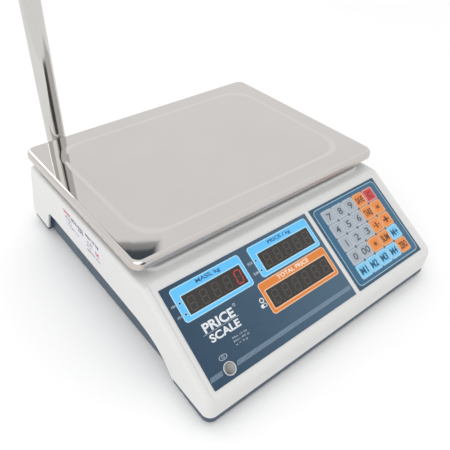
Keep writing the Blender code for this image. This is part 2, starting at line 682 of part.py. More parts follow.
def add_films(looks):
    low = FILM_REST
    high = FILM_REST + FILM_THICKNESS
    x0, x1 = FILM_SIZE["display"]
    film = place("display_overlay", box(x0, x1, -FILM_BOTTOM, -FILM_TOP, low, high), looks["navy"], PANEL)
    hole = cylinder(LEVEL_CENTRE[0], -LEVEL_CENTRE[1], -REACH, REACH, LEVEL_RADIUS + GAP, 20)
    cut(film, tool("display_overlay_level_hole", hole, PANEL))
    x0, x1 = FILM_SIZE["keypad"]
    film = place("keypad_overlay", box(x0, x1, -FILM_BOTTOM, -FILM_TOP, low, high), looks["blue"], PANEL)
    holes = bmesh.new()
    spare = 0.25 * MM
    for _, x, y, _ in key_places():
        w, h = KEY_SIZE[0] / 2 + spare, KEY_SIZE[1] / 2 + spare
        rounded_box(x - w, x + w, y - h, y + h, -REACH, REACH, KEY_CORNER + spare, 2, bm=holes)
    cut(film, tool("keypad_overlay_holes", holes, PANEL))


def key_places():
    """Key name, centre in the panel frame and colour, row by row."""
    found = []
    for row, names in enumerate(KEY_NAMES):
        for column, name in enumerate(names):
            x = KEY_CENTRE[0] + (column - 2) * KEY_PITCH[0]
            y = -(KEY_CENTRE[1] + (row - 2) * KEY_PITCH[1])
            colour = "grey"
            if name == "key_clear":
                colour = "red"
            elif name in SKY_KEYS:
                colour = "sky"
            elif not name.removeprefix("key_").isdigit():
                colour = "orange"
            found.append((name, x, y, colour))
    return found


def add_keys(looks):
    w, h = KEY_SIZE[0] / 2, KEY_SIZE[1] / 2
    bevel = 0.35 * MM
    levels = [(0, KEY_BOTTOM), (0, KEY_TOP - 0.25 * MM), (bevel, KEY_TOP)]
    for name, x, y, colour in key_places():
        rings = []
        for inset, z in levels:
            line = rounded_outline(-w + inset, w - inset, -h + inset, h - inset, KEY_CORNER, 2)
            rings.append([(px, py, z) for px, py in line])
        place(name, loft(rings), looks[colour], PANEL, (x, y, 0))


def add_keypad_board(looks):
    kx, kt = KEY_CENTRE
    half_x, half_t = KEYPAD_BOARD_HALF
    top = KEYPAD_BOARD_TOP
    board = box(kx - half_x, kx + half_x, -kt - half_t, -kt + half_t, top - BOARD_THICKNESS, top)
    board = place("keypad_board", board, looks["board"], PANEL)
    domes = bmesh.new()
    for _, x, y, _ in key_places():
        cylinder(x, y, top - GAP, DOME_TOP, 4 * MM, 8, 2.2 * MM, bm=domes)
    join(board, tool("keypad_domes", domes, PANEL))


def add_display_board(looks):
    x0, x1, t0, t1 = DISPLAY_BOARD
    top = DISPLAY_BOARD_TOP
    board = place("display_board", box(x0, x1, -t1, -t0, top - BOARD_THICKNESS, top), looks["board"], PANEL)
    rim_x, rim_t = 1.5 * MM, 2 * MM
    for name, (x0, x1, t0, t1) in WINDOWS.items():
        block = rounded_box(x0 - rim_x, x1 + rim_x, -t1 - rim_t, -t0 + rim_t,
                            top - 0.5 * MM, DIGITS_TOP, 1 * MM, 1)
        join(board, tool(f"{name}_digits", block, PANEL))
    holes = bmesh.new()
    for x, t in DISPLAY_BOSSES:
        cylinder(x, -t, top - REACH, top + 2 * MM, 1.9 * MM, 8, bm=holes)
    cut(board, tool("display_board_holes", holes, PANEL))


def add_level(look):
    """Bubble level: a tapered cup with a low domed top."""
    r = LEVEL_RADIUS - GAP
    profile = [(r - 0.7 * MM, -6 * MM), (r, 1 * MM), (r - 1 * MM, 1.9 * MM)]
    place("bubble_level", turned(profile, 24), look, PANEL, (LEVEL_CENTRE[0], -LEVEL_CENTRE[1], 0))


# ---------------------------------------------------------------- electronics

def add_main_board(looks):
    x0, x1, y0, y1 = BOARD_BOX
    board = box(x0, x1, y0, y1, BOARD_HEIGHT, BOARD_HEIGHT + BOARD_THICKNESS)
    board = place("main_board", board, looks["board"], BODY)
    # Processor, transformer and plug strip: x0, x1, y0, y1 and height above the board.
    components = [(45, 65, 85, 105, 2.4), (80, 95, 100, 125, 12), (30, 60, 118, 126, 8)]
    top = BOARD_HEIGHT + BOARD_THICKNESS - 0.2 * MM
    chips = bmesh.new()
    for cx0, cx1, cy0, cy1, height in components:
        box(cx0 * MM, cx1 * MM, cy0 * MM, cy1 * MM, top, top + height * MM, bm=chips)
    join(board, tool("main_board_components", chips, BODY))
    holes = bmesh.new()
    for x, y in board_corners():
        cylinder(x, y, BOARD_HEIGHT - REACH, BOARD_HEIGHT + REACH, 1.9 * MM, 8, bm=holes)
    cut(board, tool("main_board_holes", holes, BODY))


def add_battery(looks):
    x0, x1, y0, y1, z0, z1 = BATTERY_BOX
    battery = place("battery", rounded_box(x0, x1, y0, y1, z0, z1, 2 * MM, 2), looks["battery"], BODY)
    tab_x = x0 + 8 * MM
    tab_inset = 20 * MM
    tabs = bmesh.new()
    for y in (y0 + tab_inset, y1 - tab_inset):
        box(tab_x, tab_x + 6 * MM, y - 0.5 * MM, y + 0.5 * MM, z1 - 1 * MM, z1 + 6 * MM, bm=tabs)
    join(battery, tool("battery_tabs", tabs, BODY))


def add_rear_fittings(looks):
    add_power_switch(looks)
    add_power_socket(looks["black"])


def add_power_switch(looks):
    w, h = SWITCH_CASE
    bezel = 1.6 * MM
    x = SWITCH_PLACE
    frame = rounded_box(x - w - bezel, x + w + bezel, -h - bezel, h + bezel, GAP, 2 * MM, 1.5 * MM, 2)
    switch = place("power_switch_body", frame, looks["black"], REAR)
    join(switch, tool("switch_case", box(x - w, x + w, -h, h, -16 * MM, 1 * MM), REAR))
    wall_x, wall_y = 1.6 * MM, 1.2 * MM
    pocket = box(x - w + wall_x, x + w - wall_x, -h + wall_y, h - wall_y, -6 * MM, REACH)
    cut(switch, tool("switch_pocket", pocket, REAR))
    # Section of the rocker as (x, z) about its axis: a shallow V on top.
    outline = [(-7.3, -2.2), (7.3, -2.2), (7.3, 2.8), (0, 1.6), (-7.3, 2.8)]
    half = h - wall_y - 0.4 * MM
    rocker = loft([[(rx * MM, y, rz * MM) for rx, rz in outline] for y in (-half, half)])
    place("power_rocker", rocker, looks["red"], REAR, (x, 0, 0.5 * MM), (0, -ROCKER_TILT, 0))


def add_power_socket(look):
    """Round low-voltage socket with its centre pin."""
    x = SOCKET_PLACE
    depth = -12 * MM
    bore_end = -9 * MM
    socket = place("power_socket", cylinder(x, 0, GAP, 1.8 * MM, SOCKET_RADIUS + 2.1 * MM, 20), look, REAR)
    join(socket, tool("socket_barrel", cylinder(x, 0, depth, 1 * MM, SOCKET_RADIUS, 20), REAR))
    cut(socket, tool("socket_bore", cylinder(x, 0, bore_end, REACH, 3.2 * MM, 16), REAR))
    join(socket, tool("socket_pin", cylinder(x, 0, bore_end - 1 * MM, -1 * MM, 1 * MM, 10), REAR))


# ---------------------------------------------------------------- mast and head

def add_mast(looks):
    """Steel foot plate with a spigot, and the polished tube that stands on it up into the head."""
    x, y = MAST_AXIS
    plate = rounded_box(x - 17 * MM, x + 28 * MM, y - 35.5 * MM, y + 6 * MM, WALL + GAP, 5.8 * MM, 4 * MM)
    base = place("mast_base", plate, looks["steel"], BODY)
    join(base, tool("mast_base_boss", cylinder(x, y, 4 * MM, MAST_BASE_TOP, 8.9 * MM, 20), BODY))
    join(base, tool("mast_base_spigot", cylinder(x, y, MAST_BASE_TOP - 1 * MM, 60 * MM, 8.7 * MM, 20), BODY))
    tube = cylinder(x, y, MAST_BASE_TOP + GAP, MAST_TOP, MAST_RADIUS, 32)
    tube = place("mast_tube", tube, looks["polished"], BODY)
    collar = cylinder(x, y, HEAD_BOTTOM - 6 * MM, HEAD_BOTTOM - GAP, MAST_RADIUS + 3 * MM, 32)
    join(tube, tool("mast_collar", collar, BODY))
    bore = cylinder(x, y, 0, HEAD_TOP, MAST_RADIUS - MAST_WALL, 32)
    cut(tube, tool("mast_bore", bore, BODY))


def head_cover(name, look, toward):
    """Half of the head: toward is +1 for the customer's side and -1 for the seller's side."""
    x0, x1 = HEAD_X
    face = HEAD_Y[1] if toward > 0 else HEAD_Y[0]
    bevel = 3 * MM
    rings = []
    for inset, y in [(0, toward * GAP / 2), (0, face - toward * bevel), (bevel, face)]:
        line = rounded_outline(x0 + inset, x1 - inset, HEAD_BOTTOM + inset, HEAD_TOP - inset,
                               HEAD_CORNER - inset, 3)
        rings.append([(px, y, pz) for px, pz in line])
    cover = place(name, loft(rings), look, HEAD)
    wall = HEAD_WALL
    line = rounded_outline(x0 + wall, x1 - wall, HEAD_BOTTOM + wall, HEAD_TOP - wall, HEAD_CORNER - wall, 3)
    depth = [-toward * 1 * MM, face - toward * wall * 1.3]
    hollow = loft([[(px, y, pz) for px, pz in line] for y in depth])
    cut(cover, tool(f"{name}_hollow", hollow, HEAD))
    entry = cylinder(0, 0, HEAD_BOTTOM - REACH, HEAD_BOTTOM + 2 * REACH, MAST_RADIUS + 0.4 * MM, 32)
    cut(cover, tool(f"{name}_mast_entry", entry, HEAD))
    return cover


def add_head(looks):
    front = head_cover("head_front_cover", looks["white"], 1)
    head_cover("head_back_cover", looks["white"], -1)
    x0, x1, z0, z1 = HEAD_WINDOW
    face = HEAD_Y[1]
    opening = box(x0, x1, face - 6 * MM, face + REACH, z0, z1)
    cut(front, tool("head_window_opening", opening, HEAD))
    pane = box(x0 + GAP, x1 - GAP, face - 2.4 * MM, face - 0.6 * MM, z0 + GAP, z1 - GAP)
    place("head_window", pane, looks["smoke"], HEAD)
    rim = 4 * MM
    board = box(x0 - rim, x1 + rim, face - 13.5 * MM, face - 12 * MM, z0 - rim, z1 + rim)
    board = place("head_display", board, looks["board"], HEAD)
    digits = box(x0 + rim, x1 - rim, face - 12.5 * MM, face - 5 * MM, z0 + rim, z1 - rim)
    join(board, tool("head_display_digits", digits, HEAD))


def main():
    looks = {
        "white": material("white_plastic", (0.72, 0.72, 0.70), 0.42),
        "base": material("navy_plastic", (0.045, 0.085, 0.13), 0.5),
        "navy": material("display_film", (0.03, 0.075, 0.14), 0.35),
        "blue": material("keypad_film", (0.05, 0.14, 0.26), 0.35),
        "grey": material("grey_key", (0.40, 0.45, 0.48), 0.4),
        "orange": material("orange_key", (0.86, 0.30, 0.07), 0.4),
        "sky": material("sky_key", (0.23, 0.58, 0.85), 0.4),
        "red": material("red_key", (0.62, 0.04, 0.05), 0.4),
        "polished": material("polished_steel", (0.72, 0.71, 0.69), 0.12, 1.0),
        "platter": material("stainless_steel", (0.70, 0.69, 0.68), 0.25, 1.0),
        "steel": material("zinc_steel", (0.60, 0.60, 0.60), 0.35, 1.0),
        "alloy": material("cast_aluminium", (0.66, 0.67, 0.68), 0.4, 1.0),
        "rubber": material("black_rubber", (0.03, 0.03, 0.03), 0.75),
        "black": material("black_plastic", (0.02, 0.02, 0.02), 0.4),
        "smoke": material("smoked_window", (0.04, 0.03, 0.03), 0.2),
        "board": material("circuit_board", (0.02, 0.16, 0.07), 0.5),
        "battery": material("battery_case", (0.08, 0.08, 0.09), 0.5),
        "level": material("level_vial", (0.55, 0.58, 0.50), 0.15),
    }
    add_upper_housing(looks["white"])
    add_base_tray(looks["base"])
    add_feet(looks["rubber"])
    add_platter(looks["platter"])
    add_support(looks)
    add_load_cell(looks)
    add_films(looks)
    add_keys(looks)
    add_keypad_board(looks)
    add_display_board(looks)
    add_level(looks["level"])
    add_main_board(looks)
    add_battery(looks)
    add_rear_fittings(looks)
    add_mast(looks)
    add_head(looks)


clear_scene()
PARTS = collection("retail_price_scale")
CUTTERS = collection("cutters")
BODY = empty("body_frame", (0, -BODY_DEPTH / 2, FOOT_HEIGHT))
PANEL = empty("panel_frame", (0, DECK_FRONT, DECK_HEIGHT), BODY, (PANEL_SLOPE, 0, 0))
REAR_Y = BODY_DEPTH - (REAR_FITTING_HEIGHT - STRIP_HEIGHT) * math.tan(REAR_LEAN)
REAR = empty("rear_frame", (0, REAR_Y, REAR_FITTING_HEIGHT), BODY, (REAR_LEAN - math.pi / 2, 0, 0))
PLATFORM = empty("platform_frame", (0, 0, 0), BODY)
HEAD = empty("head_frame", (*MAST_AXIS, 0), BODY)
main()
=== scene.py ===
import json
import math

import bmesh
import bpy
from mathutils import Matrix, Vector


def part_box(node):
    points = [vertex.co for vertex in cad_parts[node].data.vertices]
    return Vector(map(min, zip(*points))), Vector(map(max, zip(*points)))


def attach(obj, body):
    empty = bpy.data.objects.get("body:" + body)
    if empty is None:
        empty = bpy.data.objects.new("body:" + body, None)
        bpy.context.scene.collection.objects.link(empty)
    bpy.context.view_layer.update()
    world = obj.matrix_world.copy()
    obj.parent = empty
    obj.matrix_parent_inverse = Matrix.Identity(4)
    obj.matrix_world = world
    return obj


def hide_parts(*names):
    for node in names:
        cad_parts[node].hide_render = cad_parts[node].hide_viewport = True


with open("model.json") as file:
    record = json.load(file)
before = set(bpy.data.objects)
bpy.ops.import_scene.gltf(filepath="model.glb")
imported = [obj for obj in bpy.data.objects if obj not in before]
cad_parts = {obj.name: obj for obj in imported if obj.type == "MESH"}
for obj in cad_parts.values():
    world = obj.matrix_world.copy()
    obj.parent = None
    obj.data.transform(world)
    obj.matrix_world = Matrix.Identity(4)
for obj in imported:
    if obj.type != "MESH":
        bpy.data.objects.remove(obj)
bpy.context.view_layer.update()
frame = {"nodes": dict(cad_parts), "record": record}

MM = 0.001


def scaled(*values):
    """Sizes given in millimetres."""
    return [value * MM for value in values]


# ---------------------------------------------------------------- driving sizes, as in the solids

BODY_WIDTH = 323 * MM
BODY_DEPTH = 368 * MM
DECK_HEIGHT = 86.2 * MM
DECK_FRONT = 98.7 * MM
PANEL_SLOPE = math.radians(31.8)
REAR_LEAN = math.radians(19.7)
REAR_EDGE_RADIUS = 6 * MM
WALL = 2.5 * MM
STRIP_HEIGHT = 4.6 * MM
FRONT_CORNER = 9 * MM
EDGE_RADIUS = 4 * MM
LIP_RADIUS = 8 * MM
RIDGE_HEIGHT = 1.6 * MM
BORDER = BODY_WIDTH / 2 - 154 * MM
PLATEAU = scaled(-147, 147, 107, 331)
PLATEAU_HEIGHT = 4.5 * MM
PLATEAU_CORNER = 14 * MM
HOLD_DEPTH = 6.5 * MM
HOLD_WALL = 2.2 * MM
HOLD_OUTLINE = [(50, -1), (65.4, 17.6), (78, 26.5), (92, 31.5), (110, 34.2), (148, 35.4), (288, 38.2),
                (304, 37.4), (309.5, 32), (323.5, -1)]
SKIRT_DEPTH = 2.5 * MM
SKIRT_START = 14 * MM
SKIRT_END = 49 * MM
GAP = 0.3 * MM
REACH = 4 * MM
# Thickness of printed ink.
PRINT = 0.04 * MM
FILM_TOP = 9.4 * MM
FILM_BOTTOM = 107.2 * MM
FILM_X = {"display": (-148.9 * MM, 36 * MM), "keypad": (42 * MM, 148.9 * MM)}
FILM_HEIGHT = (0.15 * MM, 0.65 * MM)
WINDOWS = {
    "mass": scaled(-133, -65, 23, 41.8),
    "price": scaled(-41.5, 27.5, 22.7, 41.5),
    "total": scaled(-55, 27.7, 57, 76),
}
# Printed frame of each window: x0, x1, t0, t1.
WINDOW_FRAMES = {
    "mass": scaled(-141, -60.5, 13.5, 46.5),
    "price": scaled(-49.5, 32, 13, 46),
    "total": scaled(-60, 32, 48, 80.5),
}
LEVEL_CENTRE = (-126.7 * MM, -98 * MM)
LEVEL_RADIUS = 6.3 * MM
KEY_SIZE = (15.8 * MM, 15.4 * MM)
KEY_PITCH = (17.0 * MM, 16.63 * MM)
KEY_CENTRE = (95.9 * MM, -58.3 * MM)
KEY_BOTTOM = -1.6 * MM
KEY_TOP = 0.95 * MM
PLATTER_SIZE = (325 * MM, 238 * MM)
PLATTER_FRONT = 103.6 * MM
PLATTER_MIDDLE = PLATTER_FRONT + PLATTER_SIZE[1] / 2
PLATTER_TOP = 108.6 * MM
PLATTER_SINK = 0.35 * MM
PLATTER_LIP = 9 * MM
MAST_AXIS = (-118.1 * MM, 353.5 * MM)
MAST_RADIUS = 10.9 * MM
MAST_FOOT = 12.3 * MM
MAST_TOP = 463 * MM
HEAD_BOTTOM = 415 * MM
HEAD_TOP = 485 * MM
HEAD_X = (-27.9 * MM, 168.1 * MM)
HEAD_Y = (-15 * MM, 14.5 * MM)
HEAD_WINDOW = scaled(30.1, 158.1, 434, 468)
SWITCH_PLACE = 95 * MM
SOCKET_PLACE = 60 * MM
REAR_HEIGHT = 45 * MM
ROCKER_TILT = math.radians(8)
POST_PLACES = [(side * x * MM, y * MM) for side in (-1, 1) for x, y in ((149, 20), (143, 150), (143, 334))]

# The case's own space: y runs back from its front face and z up from the tray's underside, above its rim.
BODY = Matrix.Translation((0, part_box("upper_housing")[0].y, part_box("base_tray")[0].z + SKIRT_DEPTH))
# The panel's space: x to the right, y up the slope, z out of the surface.
PANEL = BODY @ Matrix.Translation((0, DECK_FRONT, DECK_HEIGHT)) @ Matrix.Rotation(PANEL_SLOPE, 4, "X")
REAR_Y = BODY_DEPTH - (REAR_HEIGHT - STRIP_HEIGHT) * math.tan(REAR_LEAN)
REAR = BODY @ Matrix.Translation((0, REAR_Y, REAR_HEIGHT)) @ Matrix.Rotation(REAR_LEAN - math.pi / 2, 4, "X")
HEAD = BODY @ Matrix.Translation((*MAST_AXIS, 0))
# The customer's side of the head: x to the reader's right, y up, z out of the surface.
FACE_TURN = Matrix(((-1, 0, 0, 0), (0, 0, 1, 0), (0, 1, 0, 0), (0, 0, 0, 1)))
HEAD_FACE = HEAD @ Matrix.Translation((0, HEAD_Y[1], 0)) @ FACE_TURN


# ---------------------------------------------------------------- shader nodes

def remap(tree, source, from_low, from_high, low, high, kind="LINEAR"):
    node = tree.nodes.new("ShaderNodeMapRange")
    node.interpolation_type = kind
    ends = {"From Min": from_low, "From Max": from_high, "To Min": low, "To Max": high}
    for socket, value in ends.items():
        node.inputs[socket].default_value = value
    tree.links.new(source, node.inputs["Value"])
    return node.outputs["Result"]


def mix(tree, factor, first, second):
    """Mix two colours, or a link and a colour."""
    node = tree.nodes.new("ShaderNodeMix")
    node.data_type = "RGBA"
    tree.links.new(factor, node.inputs["Factor"])
    for socket, value in (("A", first), ("B", second)):
        target = [i for i in node.inputs if i.name == socket and i.type == "RGBA"][0]
        if isinstance(value, tuple):
            target.default_value = (*value, 1.0)
        else:
            tree.links.new(value, target)
    return [o for o in node.outputs if o.type == "RGBA"][0]


def combine(tree, operation, first, second):
    node = tree.nodes.new("ShaderNodeMath")
    node.operation = operation
    tree.links.new(first, node.inputs[0])
    tree.links.new(second, node.inputs[1])
    return node.outputs["Value"]


# ---------------------------------------------------------------- materials

# Each look's material and slot, by its name.
LOOKS = {}


class Look:
    """A Principled material and the nodes that feed it."""

    def __init__(self, name, slot, rough, metallic=0.0, **constants):
        self.material = bpy.data.materials.new(name)
        self.material.use_nodes = True
        self.tree = self.material.node_tree
        self.shader = self.tree.nodes["Principled BSDF"]
        for socket, value in {"Roughness": rough, "Metallic": metallic, **constants}.items():
            self.shader.inputs[socket.replace("_", " ")].default_value = value
        LOOKS[name] = (self.material, slot)
        self.coordinates = self.node("ShaderNodeTexCoord").outputs["Object"]

    def node(self, kind, **inputs):
        made = self.tree.nodes.new(kind)
        for socket, value in inputs.items():
            made.inputs[socket].default_value = value
        return made

    def link(self, source, target):
        self.tree.links.new(source, target)

    def along(self, axis):
        """The piece's own coordinate along an axis."""
        axes = self.node("ShaderNodeSeparateXYZ")
        self.link(self.coordinates, axes.inputs["Vector"])
        return axes.outputs[axis]

    def noise(self, scale, detail=3.0, stretch=(1, 1, 1)):
        mapping = self.node("ShaderNodeMapping", Scale=stretch)
        self.link(self.coordinates, mapping.inputs["Vector"])
        noise = self.node("ShaderNodeTexNoise", Scale=scale, Detail=detail)
        self.link(mapping.outputs["Vector"], noise.inputs["Vector"])
        return noise.outputs["Fac"]

    def spread(self, source, low, high, from_low=0.3, from_high=0.7):
        return remap(self.tree, source, from_low, from_high, low, high)

    def blend(self, factor, first, second):
        return mix(self.tree, factor, first, second)

    def paint(self, colour):
        self.link(colour, self.shader.inputs["Base Color"])

    def roughen(self, source, low, high):
        self.link(self.spread(source, low, high), self.shader.inputs["Roughness"])

    def bump(self, height, strength, distance):
        bump = self.node("ShaderNodeBump", Strength=strength, Distance=distance)
        self.link(height, bump.inputs["Height"])
        self.link(bump.outputs["Normal"], self.shader.inputs["Normal"])


def shade(colour, factor):
    return tuple(min(1.0, channel * factor) for channel in colour)


def plastic(name, slot, colour, rough, vary, grain=900, depth=0.006):
    """Moulded or printed plastic: slightly uneven colour and gloss, and a fine texture."""
    look = Look(name, slot, rough)
    broad = look.spread(look.noise(9, 4), 0, 1)
    look.paint(look.blend(broad, shade(colour, 1 - vary), shade(colour, 1 + vary)))
    look.roughen(look.noise(60, 3), rough - 0.05, rough + 0.05)
    look.bump(look.noise(grain, 2), 0.35, depth * MM)


def metal(name, slot, colour, rough, vary, scale, depth, stretch=(1, 1, 1)):
    """Worked metal: brushed or cast grain in colour, gloss and surface."""
    look = Look(name, slot, rough, 1.0)
    grain = look.noise(scale, 4, stretch)
    look.paint(look.blend(look.spread(grain, 0, 1), shade(colour, 1 - vary), shade(colour, 1 + vary)))
    look.roughen(look.noise(scale / 8, 3, stretch), rough * 0.75, rough * 1.3)
    look.bump(grain, 0.3, depth * MM)


def film(name, left, right, span):
    """Printed film whose colour is painted lighter from one side to the other: a painted reflection over the
    ink.
    """
    rough = 0.32
    look = Look(name, name, rough)
    # The ink runs lighter across the film: painted reflection, kept in the base colour.
    across = look.spread(look.along("X"), 0, 1, *span)
    ink = look.blend(across, left, right)
    mottled = look.spread(look.noise(55, 3), 0, 0.10)
    look.paint(look.blend(mottled, ink, shade(right, 1.15)))
    look.roughen(look.noise(45, 3), rough - 0.06, rough + 0.06)
    look.bump(look.noise(900, 2), 0.2, 0.008 * MM)


def board_look():
    """Green solder mask with darker copper lines under it."""
    look = Look("circuit_board", "circuit_board", 0.35)
    bricks = look.node("ShaderNodeTexBrick", Scale=160.0, Color1=(0.012, 0.13, 0.05, 1),
                       Color2=(0.016, 0.17, 0.065, 1), Mortar=(0.05, 0.30, 0.12, 1))
    bricks.inputs["Mortar Size"].default_value = 0.04
    look.link(look.coordinates, bricks.inputs["Vector"])
    look.paint(bricks.outputs["Color"])
    look.roughen(look.noise(120, 3), 0.28, 0.45)
    look.bump(bricks.outputs["Fac"], 0.3, 0.03 * MM)


def platter_look():
    """Semi-polished sheet: a faint rolled grain along X, cloudy polish, a painted highlight along the crease
    and a painted reflection of the shaded deck on the lip.
    """
    look = Look("platter_steel", "stainless_steel", 0.12, 1.0)
    grain = look.noise(900, 3, (0.04, 1, 1))
    clouds = look.noise(14, 4)
    height = look.along("Z")
    colour = look.blend(look.spread(clouds, 0, 1), (0.590, 0.567, 0.553), (0.612, 0.590, 0.575))
    colour = look.blend(look.spread(grain, 0, 0.06), colour, (0.54, 0.52, 0.50))
    # The crease round the sunk middle gets a painted highlight, and the lip a darker, warmer painted
    # reflection of the shaded deck; both are picked out by their height.
    deep = PLATTER_TOP - PLATTER_SINK
    above = look.spread(height, 0, 1, deep, deep + 0.06 * MM)
    below = look.spread(height, 1, 0, PLATTER_TOP - 0.06 * MM, PLATTER_TOP)
    colour = look.blend(combine(look.tree, "MULTIPLY", above, below), colour, (0.648, 0.624, 0.607))
    # Darker, warmer lip: painted reflection of the shaded deck below it.
    lip_end = PLATTER_TOP - 3.6 * MM
    lip = look.spread(height, 1, 0, lip_end, PLATTER_TOP - 2.2 * MM)
    look.paint(look.blend(lip, colour, (0.61, 0.556, 0.52)))
    fold = look.spread(height, 0.30, 0.0, lip_end, PLATTER_TOP - 1.0 * MM)
    rough = combine(look.tree, "ADD", look.spread(clouds, 0.03, 0.05), fold)
    look.link(rough, look.shader.inputs["Roughness"])
    look.bump(grain, 0.02, 0.002 * MM)


def lit_look():
    """A lit segment: diffusing red plastic with light behind it."""
    colour = (0.44, 0.030, 0.030)
    look = Look("segment_lit", "smoked_window", 0.35, Emission_Color=(*colour, 1), Emission_Strength=0.11)
    uneven = look.spread(look.noise(500, 2), 0, 1)
    look.paint(look.blend(uneven, shade(colour, 0.8), colour))


def liquid_look():
    """The vial's liquid, with painted shade: dark on its left and lighter on its right."""
    x, reach = LEVEL_CENTRE[0], LEVEL_RADIUS
    look = Look("level_liquid", "level_vial", 0.06, Coat_Weight=1.0)
    # Painted shade: the liquid runs from near black on its left to light grey on its right.
    side = look.spread(look.along("X"), 0, 1, x - reach, x + reach)
    painted_shade_tone = look.blend(side, (0.030, 0.030, 0.030), (0.40, 0.40, 0.39))
    look.paint(look.blend(look.spread(look.noise(260, 2), 0, 0.2), painted_shade_tone, (0.25, 0.26, 0.22)))
    look.bump(look.noise(200, 2), 0.1, 0.01 * MM)


# Plastics and prints: slot, colour, roughness, unevenness, and a grain's scale and depth in mm.
PLASTICS = {
    "white_abs": ("white_plastic", (0.725, 0.725, 0.715), 0.42, 0.012, 1600, 0.010),
    "navy_abs": ("navy_plastic", (0.040, 0.072, 0.112), 0.45, 0.08, 1500, 0.014),
    "film_border": ("keypad_film", (0.028, 0.075, 0.125), 0.36, 0.05),
    "border_line": ("keypad_film", (0.30, 0.50, 0.66), 0.36, 0.05),
    "key_dot": ("keypad_film", (0.040, 0.055, 0.070), 0.4, 0.05),
    "sky_print": ("sky_key", (0.115, 0.540, 0.960), 0.36, 0.03),
    "sky_outline": ("sky_key", (0.42, 0.73, 0.90), 0.36, 0.03),
    "orange_print": ("orange_key", (0.720, 0.210, 0.030), 0.36, 0.03),
    "orange_outline": ("orange_key", (0.84, 0.52, 0.33), 0.36, 0.03),
    "orange_letters": ("orange_key", (0.90, 0.70, 0.56), 0.4, 0.03),
    "blue_letters": ("display_film", (0.012, 0.105, 0.290), 0.4, 0.05),
    "pale_letters": ("display_film", (0.76, 0.79, 0.82), 0.4, 0.04),
    "dim_letters": ("display_film", (0.42, 0.50, 0.58), 0.4, 0.06),
    "hatch_print": ("display_film", (0.22, 0.31, 0.40), 0.4, 0.06),
    "window_smoke": ("display_film", (0.024, 0.021, 0.019), 0.22, 0.10, 300, 0.004),
    "segment_off": ("display_film", (0.058, 0.049, 0.043), 0.3, 0.10, 600, 0.004),
    "head_window_smoke": ("smoked_window", (0.020, 0.016, 0.015), 0.16, 0.10, 300, 0.003),
    "black_rubber": ("black_rubber", (0.028, 0.028, 0.028), 0.72, 0.15, 1200, 0.03),
    "black_plastic": ("black_plastic", (0.020, 0.020, 0.022), 0.38, 0.12, 1300, 0.012),
    "battery_case": ("battery_case", (0.070, 0.070, 0.078), 0.5, 0.12, 900, 0.02),
    "level_ring": ("level_vial", (0.66, 0.68, 0.69), 0.30, 0.03),
    "label_paper": ("white_plastic", (0.72, 0.72, 0.76), 0.35, 0.02, 700),
    "label_ink": ("white_plastic", (0.075, 0.075, 0.090), 0.45, 0.10, 700),
    "label_red": ("white_plastic", (0.55, 0.075, 0.085), 0.45, 0.10, 700),
}
# Cap, rim and ink of each kind of key.
KEY_COLOURS = {
    "grey": ((0.375, 0.420, 0.475), (0.52, 0.58, 0.64), (0.085, 0.100, 0.120)),
    "orange": ((0.800, 0.250, 0.045), (0.80, 0.44, 0.24), (0.105, 0.034, 0.012)),
    "sky": ((0.190, 0.560, 0.850), (0.40, 0.72, 0.90), (0.012, 0.095, 0.210)),
    "red": ((0.560, 0.045, 0.050), (0.78, 0.42, 0.42), (0.270, 0.015, 0.020)),
}
METALS = {
    "mast_steel": ("polished_steel", (0.61, 0.60, 0.58), 0.09, 0.02, 500, 0.001, (1, 1, 0.03)),
    "zinc_steel": ("zinc_steel", (0.62, 0.62, 0.61), 0.32, 0.10, 260, 0.004),
    "cast_aluminium": ("cast_aluminium", (0.66, 0.67, 0.68), 0.42, 0.08, 420, 0.02),
}


def make_looks():
    for name, values in PLASTICS.items():
        plastic(name, *values)
    for name, values in METALS.items():
        metal(name, *values)
    for kind, (cap, rim, ink) in KEY_COLOURS.items():
        slot = f"{kind}_key"
        plastic(slot, slot, cap, 0.36, 0.03, 800, 0.010)
        plastic(f"{slot}_rim", slot, rim, 0.36, 0.03, 800)
        plastic(f"{slot}_ink", slot, ink, 0.4, 0.06, 800)
    # Each film runs from its first colour to its second across it: painted reflection.
    film("display_film", (0.008, 0.041, 0.088), (0.054, 0.116, 0.180), (-0.150, 0.036))
    film("keypad_film", (0.024, 0.120, 0.225), (0.034, 0.125, 0.215), (0.042, 0.149))
    platter_look()
    board_look()
    lit_look()
    liquid_look()


# ---------------------------------------------------------------- shapes

def box(x0, x1, y0, y1, z0, z1, bm=None):
    bm = bm or bmesh.new()
    made = bmesh.ops.create_cube(bm, size=1.0)["verts"]
    bmesh.ops.scale(bm, vec=(x1 - x0, y1 - y0, z1 - z0), verts=made)
    bmesh.ops.translate(bm, vec=((x0 + x1) / 2, (y0 + y1) / 2, (z0 + z1) / 2), verts=made)
    return bm


def circle(x, y, radius, sides=32):
    turn = [2 * math.pi * i / sides for i in range(sides)]
    return [(x + radius * math.cos(a), y + radius * math.sin(a)) for a in turn]


def rounded_outline(x0, x1, y0, y1, radius, segments=6):
    corners = [(x1 - radius, y1 - radius), (x0 + radius, y1 - radius)]
    corners += [(x0 + radius, y0 + radius), (x1 - radius, y0 + radius)]
    points = []
    for quarter, (cx, cy) in enumerate(corners):
        for step in range(segments + 1):
            angle = math.pi / 2 * (quarter + step / segments)
            points.append((cx + radius * math.cos(angle), cy + radius * math.sin(angle)))
    return points


